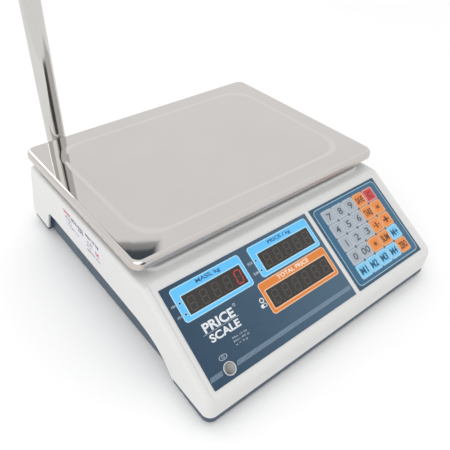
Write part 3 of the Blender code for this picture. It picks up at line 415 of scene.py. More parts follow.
def loft(rings, bm=None, closed=False):
    """Solid through rings of equal length, capped at its ends, or closed round on itself."""
    bm = bm or bmesh.new()
    rows = [[bm.verts.new(point) for point in ring] for ring in rings]
    count = len(rows[0])
    pairs = list(zip(rows, rows[1:])) + ([(rows[-1], rows[0])] if closed else [])
    for low, high in pairs:
        for i in range(count):
            j = (i + 1) % count
            bm.faces.new((low[i], low[j], high[j], high[i]))
    if not closed:
        bm.faces.new(rows[0][::-1])
        bm.faces.new(rows[-1])
    return bm


def raised(line, z):
    return [(x, y, z) for x, y in line]


def slab(outline, z0, z1, bm=None):
    return loft([raised(outline, z) for z in (z0, z1)], bm)


def frame_slab(outer, inner, z0, z1, bm=None):
    """Flat ring between two outlines with the same number of points."""
    rings = [(outer, z0), (outer, z1), (inner, z1), (inner, z0)]
    return loft([raised(line, z) for line, z in rings], bm, closed=True)


def side_prism(outline, x0, x1):
    return loft([[(x, y, z) for y, z in outline] for x in (x0, x1)])


def turned(profile, x, y, sides=48, bm=None, closed=False):
    """Turned solid from (radius, z) points, or a turned ring where the profile closes on itself."""
    return loft([raised(circle(x, y, radius, sides), z) for radius, z in profile], bm, closed)


def cylinder(x, y, z0, z1, radius, sides=40, bm=None):
    return turned(((radius, z0), (radius, z1)), x, y, sides, bm)


def block(x, y, w, h, z0, z1):
    """Box round a place, with its half sizes and heights in millimetres."""
    return box(x - w * MM, x + w * MM, y - h * MM, y + h * MM, z0 * MM, z1 * MM)


def inside(bounds, inset, radius, segments=6):
    """Rounded outline of x0, x1, y0, y1 moved inwards."""
    x0, x1, y0, y1 = bounds
    return rounded_outline(x0 + inset, x1 - inset, y0 + inset, y1 - inset, radius, segments)


def arc(steps, turn=math.pi / 2):
    """Angles of even steps along an arc, both ends included."""
    return [turn * step / steps for step in range(steps + 1)]


def grow(outline, amount):
    count = len(outline)
    area = sum(outline[i - 1][0] * outline[i][1] - outline[i][0] * outline[i - 1][1] for i in range(count))
    sign = 1 if area > 0 else -1
    grown = []
    for i in range(count):
        (ax, ay), (bx, by), (cx, cy) = outline[i - 1], outline[i], outline[(i + 1) % count]
        before = math.atan2(by - ay, bx - ax) - sign * math.pi / 2
        after = math.atan2(cy - by, cx - bx) - sign * math.pi / 2
        half = (after - before + math.pi) % (2 * math.pi) - math.pi
        reach = amount / math.cos(half / 2)
        grown.append((bx + reach * math.cos(before + half / 2), by + reach * math.sin(before + half / 2)))
    return grown


def soften(t):
    t = min(1.0, max(0.0, t))
    return t * t * (3 - 2 * t)


def as_object(name, bm, space):
    bmesh.ops.recalc_face_normals(bm, faces=bm.faces)
    mesh = bpy.data.meshes.new(name)
    bm.to_mesh(mesh)
    bm.free()
    item = bpy.data.objects.new(name, mesh)
    bpy.context.scene.collection.objects.link(item)
    item.matrix_world = space
    return item


def settle(item):
    """Apply an object's modifiers."""
    graph = bpy.context.evaluated_depsgraph_get()
    mesh = bpy.data.meshes.new_from_object(item.evaluated_get(graph))
    old = item.data
    item.modifiers.clear()
    item.data = mesh
    bpy.data.meshes.remove(old)


def carve(item, bm, space, operation="DIFFERENCE"):
    """Cut a helper solid from an object, or join it on."""
    helper = as_object("helper", bm, space)
    step = item.modifiers.new("step", "BOOLEAN")
    step.operation = operation
    step.solver = "EXACT"
    step.object = helper
    settle(item)
    bpy.data.objects.remove(helper)


def shape_of(item):
    """An object's shape, with the object itself removed."""
    shape = bmesh.new()
    shape.from_mesh(item.data)
    bpy.data.objects.remove(item)
    return shape


def dress(item, look, body="case", replaces=(), angle=35, weighted=False):
    """Give a shape its material, its smooth shading and the body that it rides on."""
    item.data.materials.clear()
    material, slot = LOOKS[look]
    item.data.materials.append(material)
    item.data.shade_smooth()
    item.data.set_sharp_from_angle(angle=math.radians(angle))
    if weighted:
        item.modifiers.new("even shading", "WEIGHTED_NORMAL").keep_sharp = True
        settle(item)
    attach(item, body)
    if replaces:
        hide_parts(*replaces)
    return item


def piece(name, bm, look, space=BODY, body="case", replaces=(), angle=35):
    return dress(as_object(name, bm, space), look, body, replaces, angle)


def lettering(words, bm=None):
    """Flat letters: (text, centre x, centre y, height, width or None, boldness) in one mesh."""
    bm = bm or bmesh.new()
    graph = bpy.context.evaluated_depsgraph_get()
    for text, x, y, height, width, bold in words:
        curve = bpy.data.curves.new("letters", "FONT")
        curve.body = text
        curve.resolution_u = 4
        curve.offset = bold
        curve.extrude = 0.02
        item = bpy.data.objects.new("letters", curve)
        bpy.context.scene.collection.objects.link(item)
        graph.update()
        mesh = bpy.data.meshes.new_from_object(item.evaluated_get(graph))
        xs = [v.co.x for v in mesh.vertices]
        ys = [v.co.y for v in mesh.vertices]
        up = height / (max(ys) - min(ys))
        along = up if width is None else width / (max(xs) - min(xs))
        middle = Vector(((max(xs) + min(xs)) / 2, (max(ys) + min(ys)) / 2, 0))
        mesh.transform(Matrix.Translation((x, y, 0)) @ Matrix.Diagonal((along, up, PRINT / 0.04, 1))
                       @ Matrix.Translation(-middle))
        bm.from_mesh(mesh)
        bpy.data.objects.remove(item)
        bpy.data.curves.remove(curve)
        bpy.data.meshes.remove(mesh)
    bmesh.ops.remove_doubles(bm, verts=bm.verts, dist=0.000001)
    return bm


# ---------------------------------------------------------------- upper housing

def round_in(distance, radius):
    if distance >= radius:
        return 0.0
    return radius - math.sqrt(radius * radius - (radius - distance) ** 2)


def body_profile(front, top, ridge, lip_radius, floor):
    """Side outline as (y, z): up the front lip, up the panel, along the deck, down the rear wall."""
    tan_slope = math.tan(PANEL_SLOPE)
    lift = (ridge - top) / math.cos(PANEL_SLOPE)
    turn = math.pi / 2 - PANEL_SLOPE
    corner = DECK_HEIGHT - (DECK_FRONT - front) * tan_slope + lift
    reach = lip_radius * math.tan(turn / 2)
    points = [(front, floor)]
    for angle in arc(10, turn):
        y = front + lip_radius * (1 - math.cos(angle))
        points.append((y, corner - reach + lip_radius * math.sin(angle)))
    deck_y = DECK_FRONT - (top + lift) / tan_slope
    deck_z = DECK_HEIGHT - top
    # Soft fold between the panel and the deck.
    ease = 2 * MM
    before = (deck_y - ease * math.cos(PANEL_SLOPE), deck_z - ease * math.sin(PANEL_SLOPE))
    after = (deck_y + ease, deck_z)
    for t in (0, 0.25, 0.5, 0.75, 1):
        points.append(tuple((1 - t) ** 2 * b + 2 * t * (1 - t) * m + t * t * a
                            for b, m, a in zip(before, (deck_y, deck_z), after)))
    lean = math.tan(REAR_LEAN)
    inset = top / math.cos(REAR_LEAN)
    rear_y = BODY_DEPTH - (deck_z - STRIP_HEIGHT) * lean - inset
    rear_turn = math.pi / 2 - REAR_LEAN
    start = rear_y - REAR_EDGE_RADIUS * math.tan(rear_turn / 2)
    for angle in arc(10, rear_turn):
        y = start + REAR_EDGE_RADIUS * math.sin(angle)
        points.append((y, deck_z - REAR_EDGE_RADIUS * (1 - math.cos(angle))))
    points.append((BODY_DEPTH - inset + (STRIP_HEIGHT - floor) * lean, floor))
    return points


def both_sides(sections):
    """Solid through side outlines, each with its distance from the middle, from the outside in."""
    rings = [[(-x, y, z) for y, z in line] for x, line in sections]
    return loft(rings + [[(x, y, z) for y, z in line] for x, line in sections[::-1]])


def case_solid():
    sections = []
    for step in (0, 0.1, 0.35, 0.8, 1.4, 2.1, 3, 4, 5.2, 6.2, 6.5, 6.9, 7.3, 7.7, 8.3, 9):
        distance = step * MM
        ridge = RIDGE_HEIGHT * (1 - soften((distance - BORDER + 1.3 * MM) / (1.5 * MM)))
        outline = body_profile(round_in(distance, FRONT_CORNER), round_in(distance, EDGE_RADIUS),
                               ridge, LIP_RADIUS, STRIP_HEIGHT)
        sections.append((BODY_WIDTH / 2 - distance, outline))
    return both_sides(sections)


def cavity_solid():
    """Hollow of the upper housing, open below."""
    half = BODY_WIDTH / 2 - WALL
    corner = FRONT_CORNER - WALL
    sections = []
    for share in (0, 0.1, 0.3, 0.6, 1):
        front = WALL + round_in(share * corner, corner)
        outline = body_profile(front, WALL, 0.0, LIP_RADIUS - WALL, STRIP_HEIGHT - 2 * MM)
        sections.append((half - share * corner, outline))
    return both_sides(sections)


def plateau_solid():
    top = DECK_HEIGHT + PLATEAU_HEIGHT
    radius = 2.2 * MM
    levels = [(0, DECK_HEIGHT - 1 * MM), (0, top - radius)]
    for angle in arc(6)[1:]:
        levels.append((radius * (1 - math.cos(angle)), top - radius + radius * math.sin(angle)))
    return loft([raised(inside(PLATEAU, inset, PLATEAU_CORNER - inset, 8), z) for inset, z in levels])


def hold_prism(side, inner, outer, growth=0.0):
    outline = [(y * MM, z * MM) for y, z in HOLD_OUTLINE]
    outline = grow(outline, growth) if growth else outline
    return side_prism(outline, *sorted((side * inner, side * outer)))


def add_housing():
    housing = as_object("upper_housing_shell", case_solid(), BODY)
    half = BODY_WIDTH / 2
    carve(housing, cavity_solid(), BODY)
    carve(housing, plateau_solid(), BODY, "UNION")
    inset = 4.5 * MM
    hollow = inside(PLATEAU, inset, PLATEAU_CORNER - inset)
    carve(housing, slab(hollow, DECK_HEIGHT - 6 * MM, DECK_HEIGHT + PLATEAU_HEIGHT - WALL), BODY)
    posts = bmesh.new()
    for x, y in POST_PLACES:
        panel_height = DECK_HEIGHT - (DECK_FRONT - y + 4.5 * MM) * math.tan(PANEL_SLOPE)
        cylinder(x, y, 5.3 * MM, min(DECK_HEIGHT - 1 * MM, panel_height - 0.8 * MM), 4.5 * MM, 20, bm=posts)
    carve(housing, posts, BODY, "UNION")
    for side in (-1, 1):
        carve(housing, hold_prism(side, half - WALL - 0.6 * MM, half + 3 * MM), BODY)
    hub = rounded_outline(20 * MM, 74 * MM, PLATTER_MIDDLE - 24 * MM, PLATTER_MIDDLE + 24 * MM, 8 * MM)
    carve(housing, slab(hub, 75 * MM, 95 * MM), BODY)
    carve(housing, cylinder(*MAST_AXIS, 11.5 * MM, 120 * MM, MAST_RADIUS + 0.4 * MM, 64), BODY)
    low, high = -8 * MM, 4 * MM
    cuts = bmesh.new()
    for x0, x1, t0, t1 in WINDOWS.values():
        box(x0, x1, -t1, -t0, low, high, bm=cuts)
    kx, ky = KEY_CENTRE
    w, h = 2.5 * KEY_PITCH[0] + 0.6 * MM, 2.5 * KEY_PITCH[1] + 0.6 * MM
    box(kx - w, kx + w, ky - h, ky + h, low, high, bm=cuts)
    cylinder(*LEVEL_CENTRE, low, high, LEVEL_RADIUS + 0.3 * MM, bm=cuts)
    carve(housing, cuts, PANEL)
    rear = block(SWITCH_PLACE, 0, 9.8, 6.8, -8, 4)
    cylinder(SOCKET_PLACE, 0, low, high, 5.3 * MM, bm=rear)
    carve(housing, rear, REAR)
    dress(housing, "white_abs", replaces=["upper_housing"], weighted=True)


# ---------------------------------------------------------------- base tray and feet

def skirt_solid(outline, half, front, rear):
    """Rim that reaches below the tray in front and runs out along its sides."""
    skirt = as_object("skirt", slab(outline, -SKIRT_DEPTH, 1 * MM), BODY)
    inner = rounded_outline(WALL - half, half - WALL, front + WALL, rear, FRONT_CORNER - WALL, 10)
    carve(skirt, slab(inner, -SKIRT_DEPTH - REACH, REACH), BODY)
    rise = SKIRT_DEPTH / (SKIRT_END - SKIRT_START)
    start = SKIRT_START - REACH
    below = [(start, -SKIRT_DEPTH - REACH * rise), (SKIRT_END, 0), (SKIRT_END, REACH),
             (BODY_DEPTH + REACH, REACH), (BODY_DEPTH + REACH, -10 * MM), (start, -10 * MM)]
    carve(skirt, side_prism(below, -BODY_WIDTH, BODY_WIDTH), BODY)
    return shape_of(skirt)


def add_base():
    half = BODY_WIDTH / 2 - GAP
    front, rear = GAP, BODY_DEPTH - 1.2 * MM
    outline = rounded_outline(-half, half, front, rear, FRONT_CORNER - GAP, 10)
    tray = as_object("base_tray_shell", slab(outline, 0, STRIP_HEIGHT - GAP), BODY)
    carve(tray, skirt_solid(outline, half, front, rear), BODY, "UNION")
    tongue = rounded_outline(-half + 2.7 * MM, half - 2.7 * MM, front + 2.7 * MM, rear - 4.4 * MM, 6 * MM)
    carve(tray, slab(tongue, 2 * MM, 9 * MM), BODY, "UNION")
    hollow = rounded_outline(-half + 4.9 * MM, half - 4.9 * MM, front + 4.9 * MM, rear - 6.6 * MM, 4 * MM)
    carve(tray, slab(hollow, WALL, 12 * MM), BODY)
    inner = BODY_WIDTH / 2 - HOLD_DEPTH
    for side in (-1, 1):
        inner_side = hold_prism(side, inner - HOLD_WALL, BODY_WIDTH / 2 - WALL - 0.4 * MM, 2 * MM)
        pocket = as_object("pocket", inner_side, BODY)
        carve(pocket, box(-BODY_WIDTH, BODY_WIDTH, 0, BODY_DEPTH, -10 * MM, 0), BODY)
        carve(tray, shape_of(pocket), BODY, "UNION")
        carve(tray, hold_prism(side, inner, BODY_WIDTH / 2 + 3 * MM), BODY)
    drills = bmesh.new()
    for x, y in FOOT_PLACES:
        cylinder(x, y, -1 * MM, 14 * MM, 4.3 * MM, 32, bm=drills)
    for x, y in POST_PLACES:
        cylinder(x, y, -1 * MM, 2.4 * MM, 3.6 * MM, 32, bm=drills)
    carve(tray, drills, BODY)
    bevel = tray.modifiers.new("broken edges", "BEVEL")
    bevel.width = 0.3 * MM
    bevel.segments = 2
    bevel.limit_method = "ANGLE"
    bevel.angle_limit = math.radians(50)
    settle(tray)
    dress(tray, "navy_abs", replaces=["base_tray"], weighted=True)


FOOT_PLACES = [(x * MM, y * MM) for y in (32, 306) for x in (-128, 128)]
FOOT_NAMES = ["foot_front_left", "foot_front_right", "foot_rear_left", "foot_rear_right"]
# Profiles as radius and height in millimetres.
PAD_PROFILE = [(9, -8.2), (9.6, -9), (13.2, -9), (14.3, -8.5), (15, -7.2), (15, -6), (14.2, -3.7),
               (13.2, -3.1), (12.4, -3)]
SCREW_PROFILE = [(1.5, 9), (1.5, 2.7), (3.2, 2.5), (3.3, 1.6), (2.8, 0.9), (1.8, 0.6)]
SOCKET_PROFILE = [(4.9, -12), (4.9, 0.3), (7, 0.3), (7, 1.2), (6.4, 1.8), (3.7, 1.8), (3.2, 1.4), (3.2, -9),
                  (1.2, -9), (1.2, -12)]


def profile_mm(points):
    return [scaled(*point) for point in points]


def add_feet():
    """Rubber pads on threaded steel studs."""
    thread = [(3.2, -3.2)]
    for turn in range(20):
        z = 0.9 * turn - 3
        thread += [(3.9, z + 0.25), (3.4, z + 0.7)]
    thread.append((3, 15))
    for name, (x, y) in zip(FOOT_NAMES, FOOT_PLACES):
        pad = turned(profile_mm(PAD_PROFILE), x, y, 60)
        piece(f"{name}_pad", pad, "black_rubber", body=name, replaces=[name])
        piece(f"{name}_stud", turned(profile_mm(thread), x, y, 24), "zinc_steel", body=name)


def add_case_screws():
    """Cross-head screws in their sinks under the tray."""
    for number, (x, y) in enumerate(POST_PLACES, 1):
        screw = as_object(f"case_screw_{number}", turned(profile_mm(SCREW_PROFILE), x, y, 32), BODY)
        carve(screw, block(x, y, 2, 0.4, -1, 1.5), BODY)
        carve(screw, block(x, y, 0.4, 2, -1, 1.5), BODY)
        dress(screw, "zinc_steel")


# ---------------------------------------------------------------- platter

def platter_ring(inset, z, corner):
    width, depth = PLATTER_SIZE
    return raised(inside((-width / 2, width / 2, PLATTER_FRONT, PLATTER_FRONT + depth), inset, corner, 10), z)


def add_platter():
    """Pressed sheet with a rounded edge, a turned-down lip and a shallow sunk middle."""
    edge, sheet = 4.5 * MM, 1 * MM
    tight = edge - sheet
    bend, lip = PLATTER_TOP - edge, PLATTER_TOP - PLATTER_LIP
    outer = []
    inner = []
    for angle in arc(8):
        outer.append((edge * (1 - math.cos(angle)), bend + edge * math.sin(angle)))
        inner.append((sheet + tight * (1 - math.cos(angle)), bend + tight * math.sin(angle)))
    for step in range(9):
        t = step / 8
        inset = 22.5 * MM + 6 * MM * t
        outer.append((inset, PLATTER_TOP - PLATTER_SINK * soften(t)))
        inner.append((inset, PLATTER_TOP - sheet - 0.25 * MM * soften(t)))
    fold = [(sheet, lip + 0.3 * MM), (sheet * 0.7, lip), (sheet * 0.3, lip), (0, lip + 0.3 * MM)]
    rings = []
    for inset, z in inner[::-1] + fold + outer:
        corner = max(12 * MM - inset, 2 * MM)
        if inset > edge:
            corner = 7.5 * MM + (inset - edge) * 30 / 28
        rings.append(platter_ring(inset, z, corner))
    platter = as_object("platter_sheet", loft(rings), BODY)
    dress(platter, "platter_steel", "platter", ["platter"], 50, weighted=True)


# ---------------------------------------------------------------- panel prints

def panel_rect(bounds, inset, radius, segments=6):
    """Rounded outline of x0, x1 and of t0, t1, which run down the panel."""
    x0, x1, t0, t1 = bounds
    return inside((x0, x1, -t1, -t0), inset, radius, segments)


def printed_ring(x, y, outer, inner, z, bm=None, sides=32):
    """Printed ring, its place and radii in millimetres."""
    lines = [circle(x * MM, y * MM, radius * MM, sides) for radius in (outer, inner)]
    return frame_slab(*lines, z, z + PRINT, bm)


def key_grid(count):
    """A square grid of places round the pad's centre, on the keys' pitch."""
    steps = [step - (count - 1) / 2 for step in range(count)]
    (cx, cy), (pitch_x, pitch_y) = KEY_CENTRE, KEY_PITCH
    return [(cx + column * pitch_x, cy + row * pitch_y) for row in steps for column in steps]


def key_outline(x, y, growth, radius, segments=6):
    w, h = KEY_SIZE[0] / 2 + growth, KEY_SIZE[1] / 2 + growth
    return rounded_outline(x - w, x + w, y - h, y + h, radius, segments)


def add_film(name, holes):
    outline = panel_rect((*FILM_X[name], FILM_TOP, FILM_BOTTOM), 0, 0.6 * MM, 3)
    sheet = as_object(f"{name}_film", slab(outline, *FILM_HEIGHT), PANEL)
    carve(sheet, holes, PANEL)
    dress(sheet, f"{name}_film", replaces=[f"{name}_overlay"])


def add_films():
    add_film("display", cylinder(*LEVEL_CENTRE, -1 * MM, 2 * MM, LEVEL_RADIUS + 0.15 * MM))
    holes = bmesh.new()
    for x, y in key_grid(5):
        slab(key_outline(x, y, 0.2 * MM, 1.9 * MM, 5), -1 * MM, 2 * MM, bm=holes)
    add_film("keypad", holes)
    # Pale line near the film's edge, with a darker border outside it.
    low = FILM_HEIGHT[1]
    high = low + PRINT
    edge = panel_rect((*FILM_X["keypad"], FILM_TOP, FILM_BOTTOM), 0.3 * MM, 0.5 * MM)
    border = scaled(45, 146.3, 12, 104.2)
    line_out, line_in = panel_rect(border, 0, 5.2 * MM), panel_rect(border, 0.9 * MM, 4.3 * MM)
    piece("keypad_border", frame_slab(edge, line_out, low, high), "film_border", PANEL)
    piece("keypad_border_line", frame_slab(line_out, line_in, low, high), "border_line", PANEL)
    add_key_outlines()
    dots = bmesh.new()
    for x, y in key_grid(4):
        cylinder(x, y, low, high, 0.95 * MM, 16, bm=dots)
    piece("keypad_dots", dots, "key_dot", PANEL)


def key_middle(name):
    low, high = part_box(name)
    return PANEL.inverted() @ ((low + high) / 2)


def add_key_outlines():
    """Pale lines printed on the film round each key."""
    high = FILM_HEIGHT[1]
    lines = {colour: bmesh.new() for colour in KEY_COLOURS}
    for name, (colour, _) in KEYS.items():
        x, y, _ = key_middle(name)
        outer, inner = key_outline(x, y, 0.56 * MM, 2.3 * MM), key_outline(x, y, 0.2 * MM, 1.9 * MM)
        frame_slab(outer, inner, high, high + PRINT, lines[colour])
    for colour, shape in lines.items():
        piece(f"{colour}_key_outlines", shape, f"{colour}_key_rim", PANEL)


SEGMENTS = {
    "a": ((0, 2), (1, 2)), "b": ((1, 2), (1, 1)), "c": ((1, 1), (1, 0)), "d": ((0, 0), (1, 0)),
    "e": ((0, 1), (0, 0)), "f": ((0, 2), (0, 1)), "g": ((0, 1), (1, 1)),
}
DIGIT_HEIGHT = 14.2 * MM
DIGIT_WIDTH = 8.2 * MM
DIGIT_PITCH = 13.6 * MM
DIGIT_SLANT = math.tan(math.radians(5))
SEGMENT_WIDTH = 1.45 * MM


def segments(lit, x, y, z0, z1, bm, size=1.0):
    """Seven-segment bars named in lit, for a digit centred on x, y."""
    width, height, thick = DIGIT_WIDTH * size, DIGIT_HEIGHT * size, SEGMENT_WIDTH * size
    w, h = width - thick, height - thick
    for name in lit:
        (ax, ay), (bx, by) = SEGMENTS[name]
        start = Vector((ax * w - w / 2, ay * h / 2 - h / 2))
        end = Vector((bx * w - w / 2, by * h / 2 - h / 2))
        along = (end - start).normalized()
        across = Vector((-along.y, along.x)) * thick / 2
        gap = thick * 0.14
        start += along * gap
        end -= along * gap
        tip = along * thick / 2
        hexagon = [start, start + tip + across, end - tip + across]
        hexagon += [end, end - tip - across, start + tip - across]
        slab([(x + p.x + p.y * DIGIT_SLANT, y + p.y) for p in hexagon], z0, z1, bm)


def add_digits(name, places, z0, z1, space=PANEL, body="case", size=1.0):
    """Bars of a row of digits. The first is a lit zero in the mass window and on the head."""
    bars, lit = bmesh.new(), bmesh.new()
    for number, (x, y) in enumerate(places):
        on = "abcdef" if name in ("mass", "head") and number == 0 else ""
        segments([bar for bar in SEGMENTS if bar not in on], x, y, z0, z1, bars, size)
        segments(on, x, y, z0, z1, lit, size)
        if name != "head":
            cylinder(x + 6.2 * MM, y - 6.6 * MM, z0, z1, 0.8 * MM, 12, bm=bars)
    piece(f"{name}_segments", bars, "segment_off", space, body)
    if lit.verts:
        piece(f"{name}_lit_zero", lit, "segment_lit", space, body)
    else:
        lit.free()


# Right-hand digit of each window, in millimetres, and how many there are.
DIGITS = {"mass": (-71.6, -33.0, 5), "price": (20.8, -32.4, 5), "total": (20.8, -66.6, 6)}


def add_windows():
    low = FILM_HEIGHT[1]
    glass, high = low + PRINT / 2, low + PRINT
    corner, line, rim = 3.4 * MM, 0.95 * MM, 1.1 * MM
    for name, window in WINDOWS.items():
        colour = "orange" if name == "total" else "sky"
        outer = panel_rect(WINDOW_FRAMES[name], 0, corner)
        outer_in = panel_rect(WINDOW_FRAMES[name], line, corner - line)
        hole_out, hole = panel_rect(window, -rim, 0.9 * MM), panel_rect(window, 0, 0.5 * MM)
        piece(f"{name}_frame", frame_slab(outer_in, hole_out, low, high), f"{colour}_print", PANEL)
        lines = frame_slab(outer, outer_in, low, high)
        frame_slab(hole_out, hole, low, high, lines)
        piece(f"{name}_frame_lines", lines, f"{colour}_outline", PANEL)
        piece(f"{name}_window", slab(hole, low, glass), "window_smoke", PANEL)
        x, y, count = DIGITS[name]
        add_digits(name, [(x * MM - DIGIT_PITCH * i, y * MM) for i in range(count)], glass, high)


def place_letters(name, words, look, height, space=PANEL, body="case"):
    """Printed words whose underside lies at a height above the panel."""
    letters = lettering([(text, x * MM, -t * MM, h * MM, w * MM if w else None, bold)
                         for text, x, t, h, w, bold in words])
    bmesh.ops.translate(letters, vec=(0, 0, height + PRINT / 2), verts=letters.verts)
    return piece(name, letters, look, space, body, angle=30)


# Text, x, distance down the panel, height and width in millimetres, and boldness.
FRAME_WORDS = [("MASS, kg", -99, 18, 5.0, 28, 0.027), ("PRICE / kg", -8, 17.9, 5.0, 31, 0.027)]
SMALL_WORDS = [
    ("Max 15 kg", -101.6, 78, 1.9, 16.5, 0.01), ("Min 40 g", -101.6, 81.2, 1.9, 17.5, 0.01),
    ("e = 5 g", -103.2, 84.4, 1.9, 13.5, 0.01), (">0<", -143.8, 28, 2.6, 4.6, 0.03),
    (">T<", -143.8, 39, 2.6, 4.6, 0.03), ("FIX", -53.6, 27.7, 2.8, 6.0, 0.02),
    ("SUM", -53.4, 38.5, 2.8, 6.0, 0.02),
]
LAMPS = ((-137, 28), (-137, 39), (-46.3, 27.7), (-46.3, 38.5))


def add_prints():
    low = FILM_HEIGHT[1]
    high = low + PRINT
    title, subtitle = ("PRICE", -112.5, 57.9, 9.2, 35, 0.03), ("SCALE", -112, 68.6, 7.4, 34, 0.03)
    place_letters("mass_and_price_words", FRAME_WORDS, "blue_letters", high)
    place_letters("total_word", [("TOTAL PRICE", -14, 52.2, 4.6, 43, 0.035)], "orange_letters", high)
    place_letters("panel_title", [title], "pale_letters", low)
    place_letters("panel_subtitle", [subtitle], "pale_letters", low)
    place_letters("small_words", SMALL_WORDS, "dim_letters", low)
    marks = box(*scaled(-133, -92.5, -63.4, -63.0), low, high)
    printed_ring(-91.5, -53, 1.5, 0.9, low, marks)
    # Level sign: an oval round a smaller circle.
    ovals = [[(-127 * MM + 1.8 * x, -87 * MM + y) for x, y in circle(0, 0, radius * MM)]
             for radius in (2.5, 2.05)]
    frame_slab(*ovals, low, high, marks)
    printed_ring(-127, -87, 1.5, 1.0, low, marks)
    piece("panel_marks", marks, "dim_letters", PANEL)
    signs = printed_ring(-64, -63, 2.6, 1.6, low)
    # Battery sign: a case, its filled half and its pole.
    battery = scaled(-67.4, -61.2, 66.4, 70)
    frame_slab(panel_rect(battery, 0, 0.3 * MM), panel_rect(battery, 0.6 * MM, 0.1 * MM), low, high, signs)
    box(*scaled(-66.8, -64.6, -69.4, -67), low, high, bm=signs)
    box(*scaled(-68.2, -67.4, -69, -67.4), low, high, bm=signs)
    piece("power_signs", signs, "pale_letters", PANEL)
    lamps, rims = bmesh.new(), bmesh.new()
    for x, t in LAMPS:
        cylinder(x * MM, -t * MM, high, high + PRINT, 1.05 * MM, 20, bm=lamps)
        printed_ring(x, -t, 1.6, 1.1, high, rims, 20)
    piece("lamp_windows", lamps, "window_smoke", PANEL)
    piece("lamp_rims", rims, "sky_outline", PANEL)
    add_hatch()


def add_hatch():
    """Band of slanted strokes across the display film, broken at the level."""
    z = FILM_HEIGHT[1]
    x0, x1 = FILM_X["display"]
    bars = bmesh.new()
    pitch, width, slant = 1.35 * MM, 0.72 * MM, 1.6 * MM
    bottom, top = -100 * MM, -95.8 * MM
    count = int((x1 - x0 - slant) / pitch)
    for i in range(count):
        x = x0 + 0.4 * MM + i * pitch
        if abs(x + slant / 2 - LEVEL_CENTRE[0]) < LEVEL_RADIUS + 1.6 * MM:
            continue
        line = [(x, bottom), (x + width, bottom), (x + width + slant, top), (x + slant, top)]
        slab(line, z, z + PRINT, bars)
    piece("hatched_band", bars, "hatch_print", PANEL)


# ---------------------------------------------------------------- keys

KEYS = {
    "key_7": ("grey", "7"), "key_8": ("grey", "8"), "key_9": ("grey", "9"),
    "key_save": ("orange", "SAVE"), "key_clear": ("red", "C"),
    "key_4": ("grey", "4"), "key_5": ("grey", "5"), "key_6": ("grey", "6"),
    "key_tare": ("orange", "TARE"), "key_multiply": ("orange", "×"),
    "key_1": ("grey", "1"), "key_2": ("grey", "2"), "key_3": ("grey", "3"),
    "key_divide": ("orange", "÷"), "key_plus": ("orange", "+"),
    "key_0": ("grey", "0"), "key_00": ("grey", "00"), "key_star": ("orange", "*"),
    "key_total": ("orange", "SUM"), "key_m_plus": ("sky", "M+"),
    "key_m1": ("sky", "M1"), "key_m2": ("sky", "M2"), "key_m3": ("sky", "M3"), "key_m4": ("sky", "M4"),
    "key_zero": ("orange", "ZERO"),
}


# Arithmetic signs as strokes: x, y of both ends and the width, in millimetres.
STROKES = {
    "+": [(-4.4, 0, 4.4, 0, 2.0), (0, -3.9, 0, 3.9, 2.4)],
    "÷": [(0, -3.6, 0, 3.6, 2.0), (-4.6, 0, -2.4, 0, 1.7), (2.4, 0, 4.6, 0, 1.7)],
    "×": [(-2.3, -2.3, 2.3, 2.3, 1.0), (-2.3, 2.3, 2.3, -2.3, 1.0), (-2.8, 0, 2.8, 0, 0.9)],
    "*": [(0, -2.9, 0, 2.9, 1.0), (-2.5, -1.45, 2.5, 1.45, 1.0), (-2.5, 1.45, 2.5, -1.45, 1.0)],
}


def strokes(lines, z0, z1):
    bm = bmesh.new()
    for number, (ax, ay, bx, by, width) in enumerate(lines):
        along = Vector((bx - ax, by - ay)).normalized()
        across = Vector((-along.y, along.x)) * width / 2
        corners = [Vector((ax, ay)) + across, Vector((bx, by)) + across]
        corners += [Vector((bx, by)) - across, Vector((ax, ay)) - across]
        # Crossing strokes stand at slightly different heights.
        slab([(p.x * MM, p.y * MM) for p in corners], z0, z1 + number * 0.002 * MM, bm)
    return bm


def key_word(colour, text):
    """Text, place, height, width and boldness of a key's word."""
    if colour == "grey":
        width = {"1": None, "00": 12.4}.get(text, 5.9)
        return (text, 0.6 if len(text) == 1 else 0.3, 0.2, 7.8, width, 0.018)
    if colour == "red":
        return (text, 0.2, 0, 7.6, 6.0, 0.03)
    return (text, 0, 0.2, 7.8, 10.6 if len(text) == 2 else 11.8, 0.035)


def key_ring(inset, z, radius):
    return raised(key_outline(0, 0, -inset, radius - inset), z)


def add_keys():
    radius, bevel = 1.9 * MM, 0.3 * MM
    top = KEY_TOP - PRINT
    rings = [key_ring(0.25 * MM, KEY_BOTTOM, radius), key_ring(0, KEY_BOTTOM + 0.3 * MM, radius)]
    for angle in arc(4):
        z = KEY_TOP - bevel - PRINT + bevel * math.sin(angle)
        rings.append(key_ring(bevel * (1 - math.cos(angle)), z, radius))
    rim = [key_outline(0, 0, -inset * MM, radius - inset * MM) for inset in (0.3, 1.15)]
    for name, (colour, text) in KEYS.items():
        middle = key_middle(name)
        space = PANEL @ Matrix.Translation((middle.x, middle.y, 0))
        piece(f"{name}_cap", loft(rings), f"{colour}_key", space, name, [name])
        piece(f"{name}_rim", frame_slab(*rim, top, top + PRINT / 2), f"{colour}_key_rim", space, name)
        ink = f"{colour}_key_ink"
        if text in STROKES:
            piece(f"{name}_sign", strokes(STROKES[text], top, top + PRINT), ink, space, name)
        else:
            place_letters(f"{name}_sign", [key_word(colour, text)], ink, top, space, name)


# ---------------------------------------------------------------- bubble level

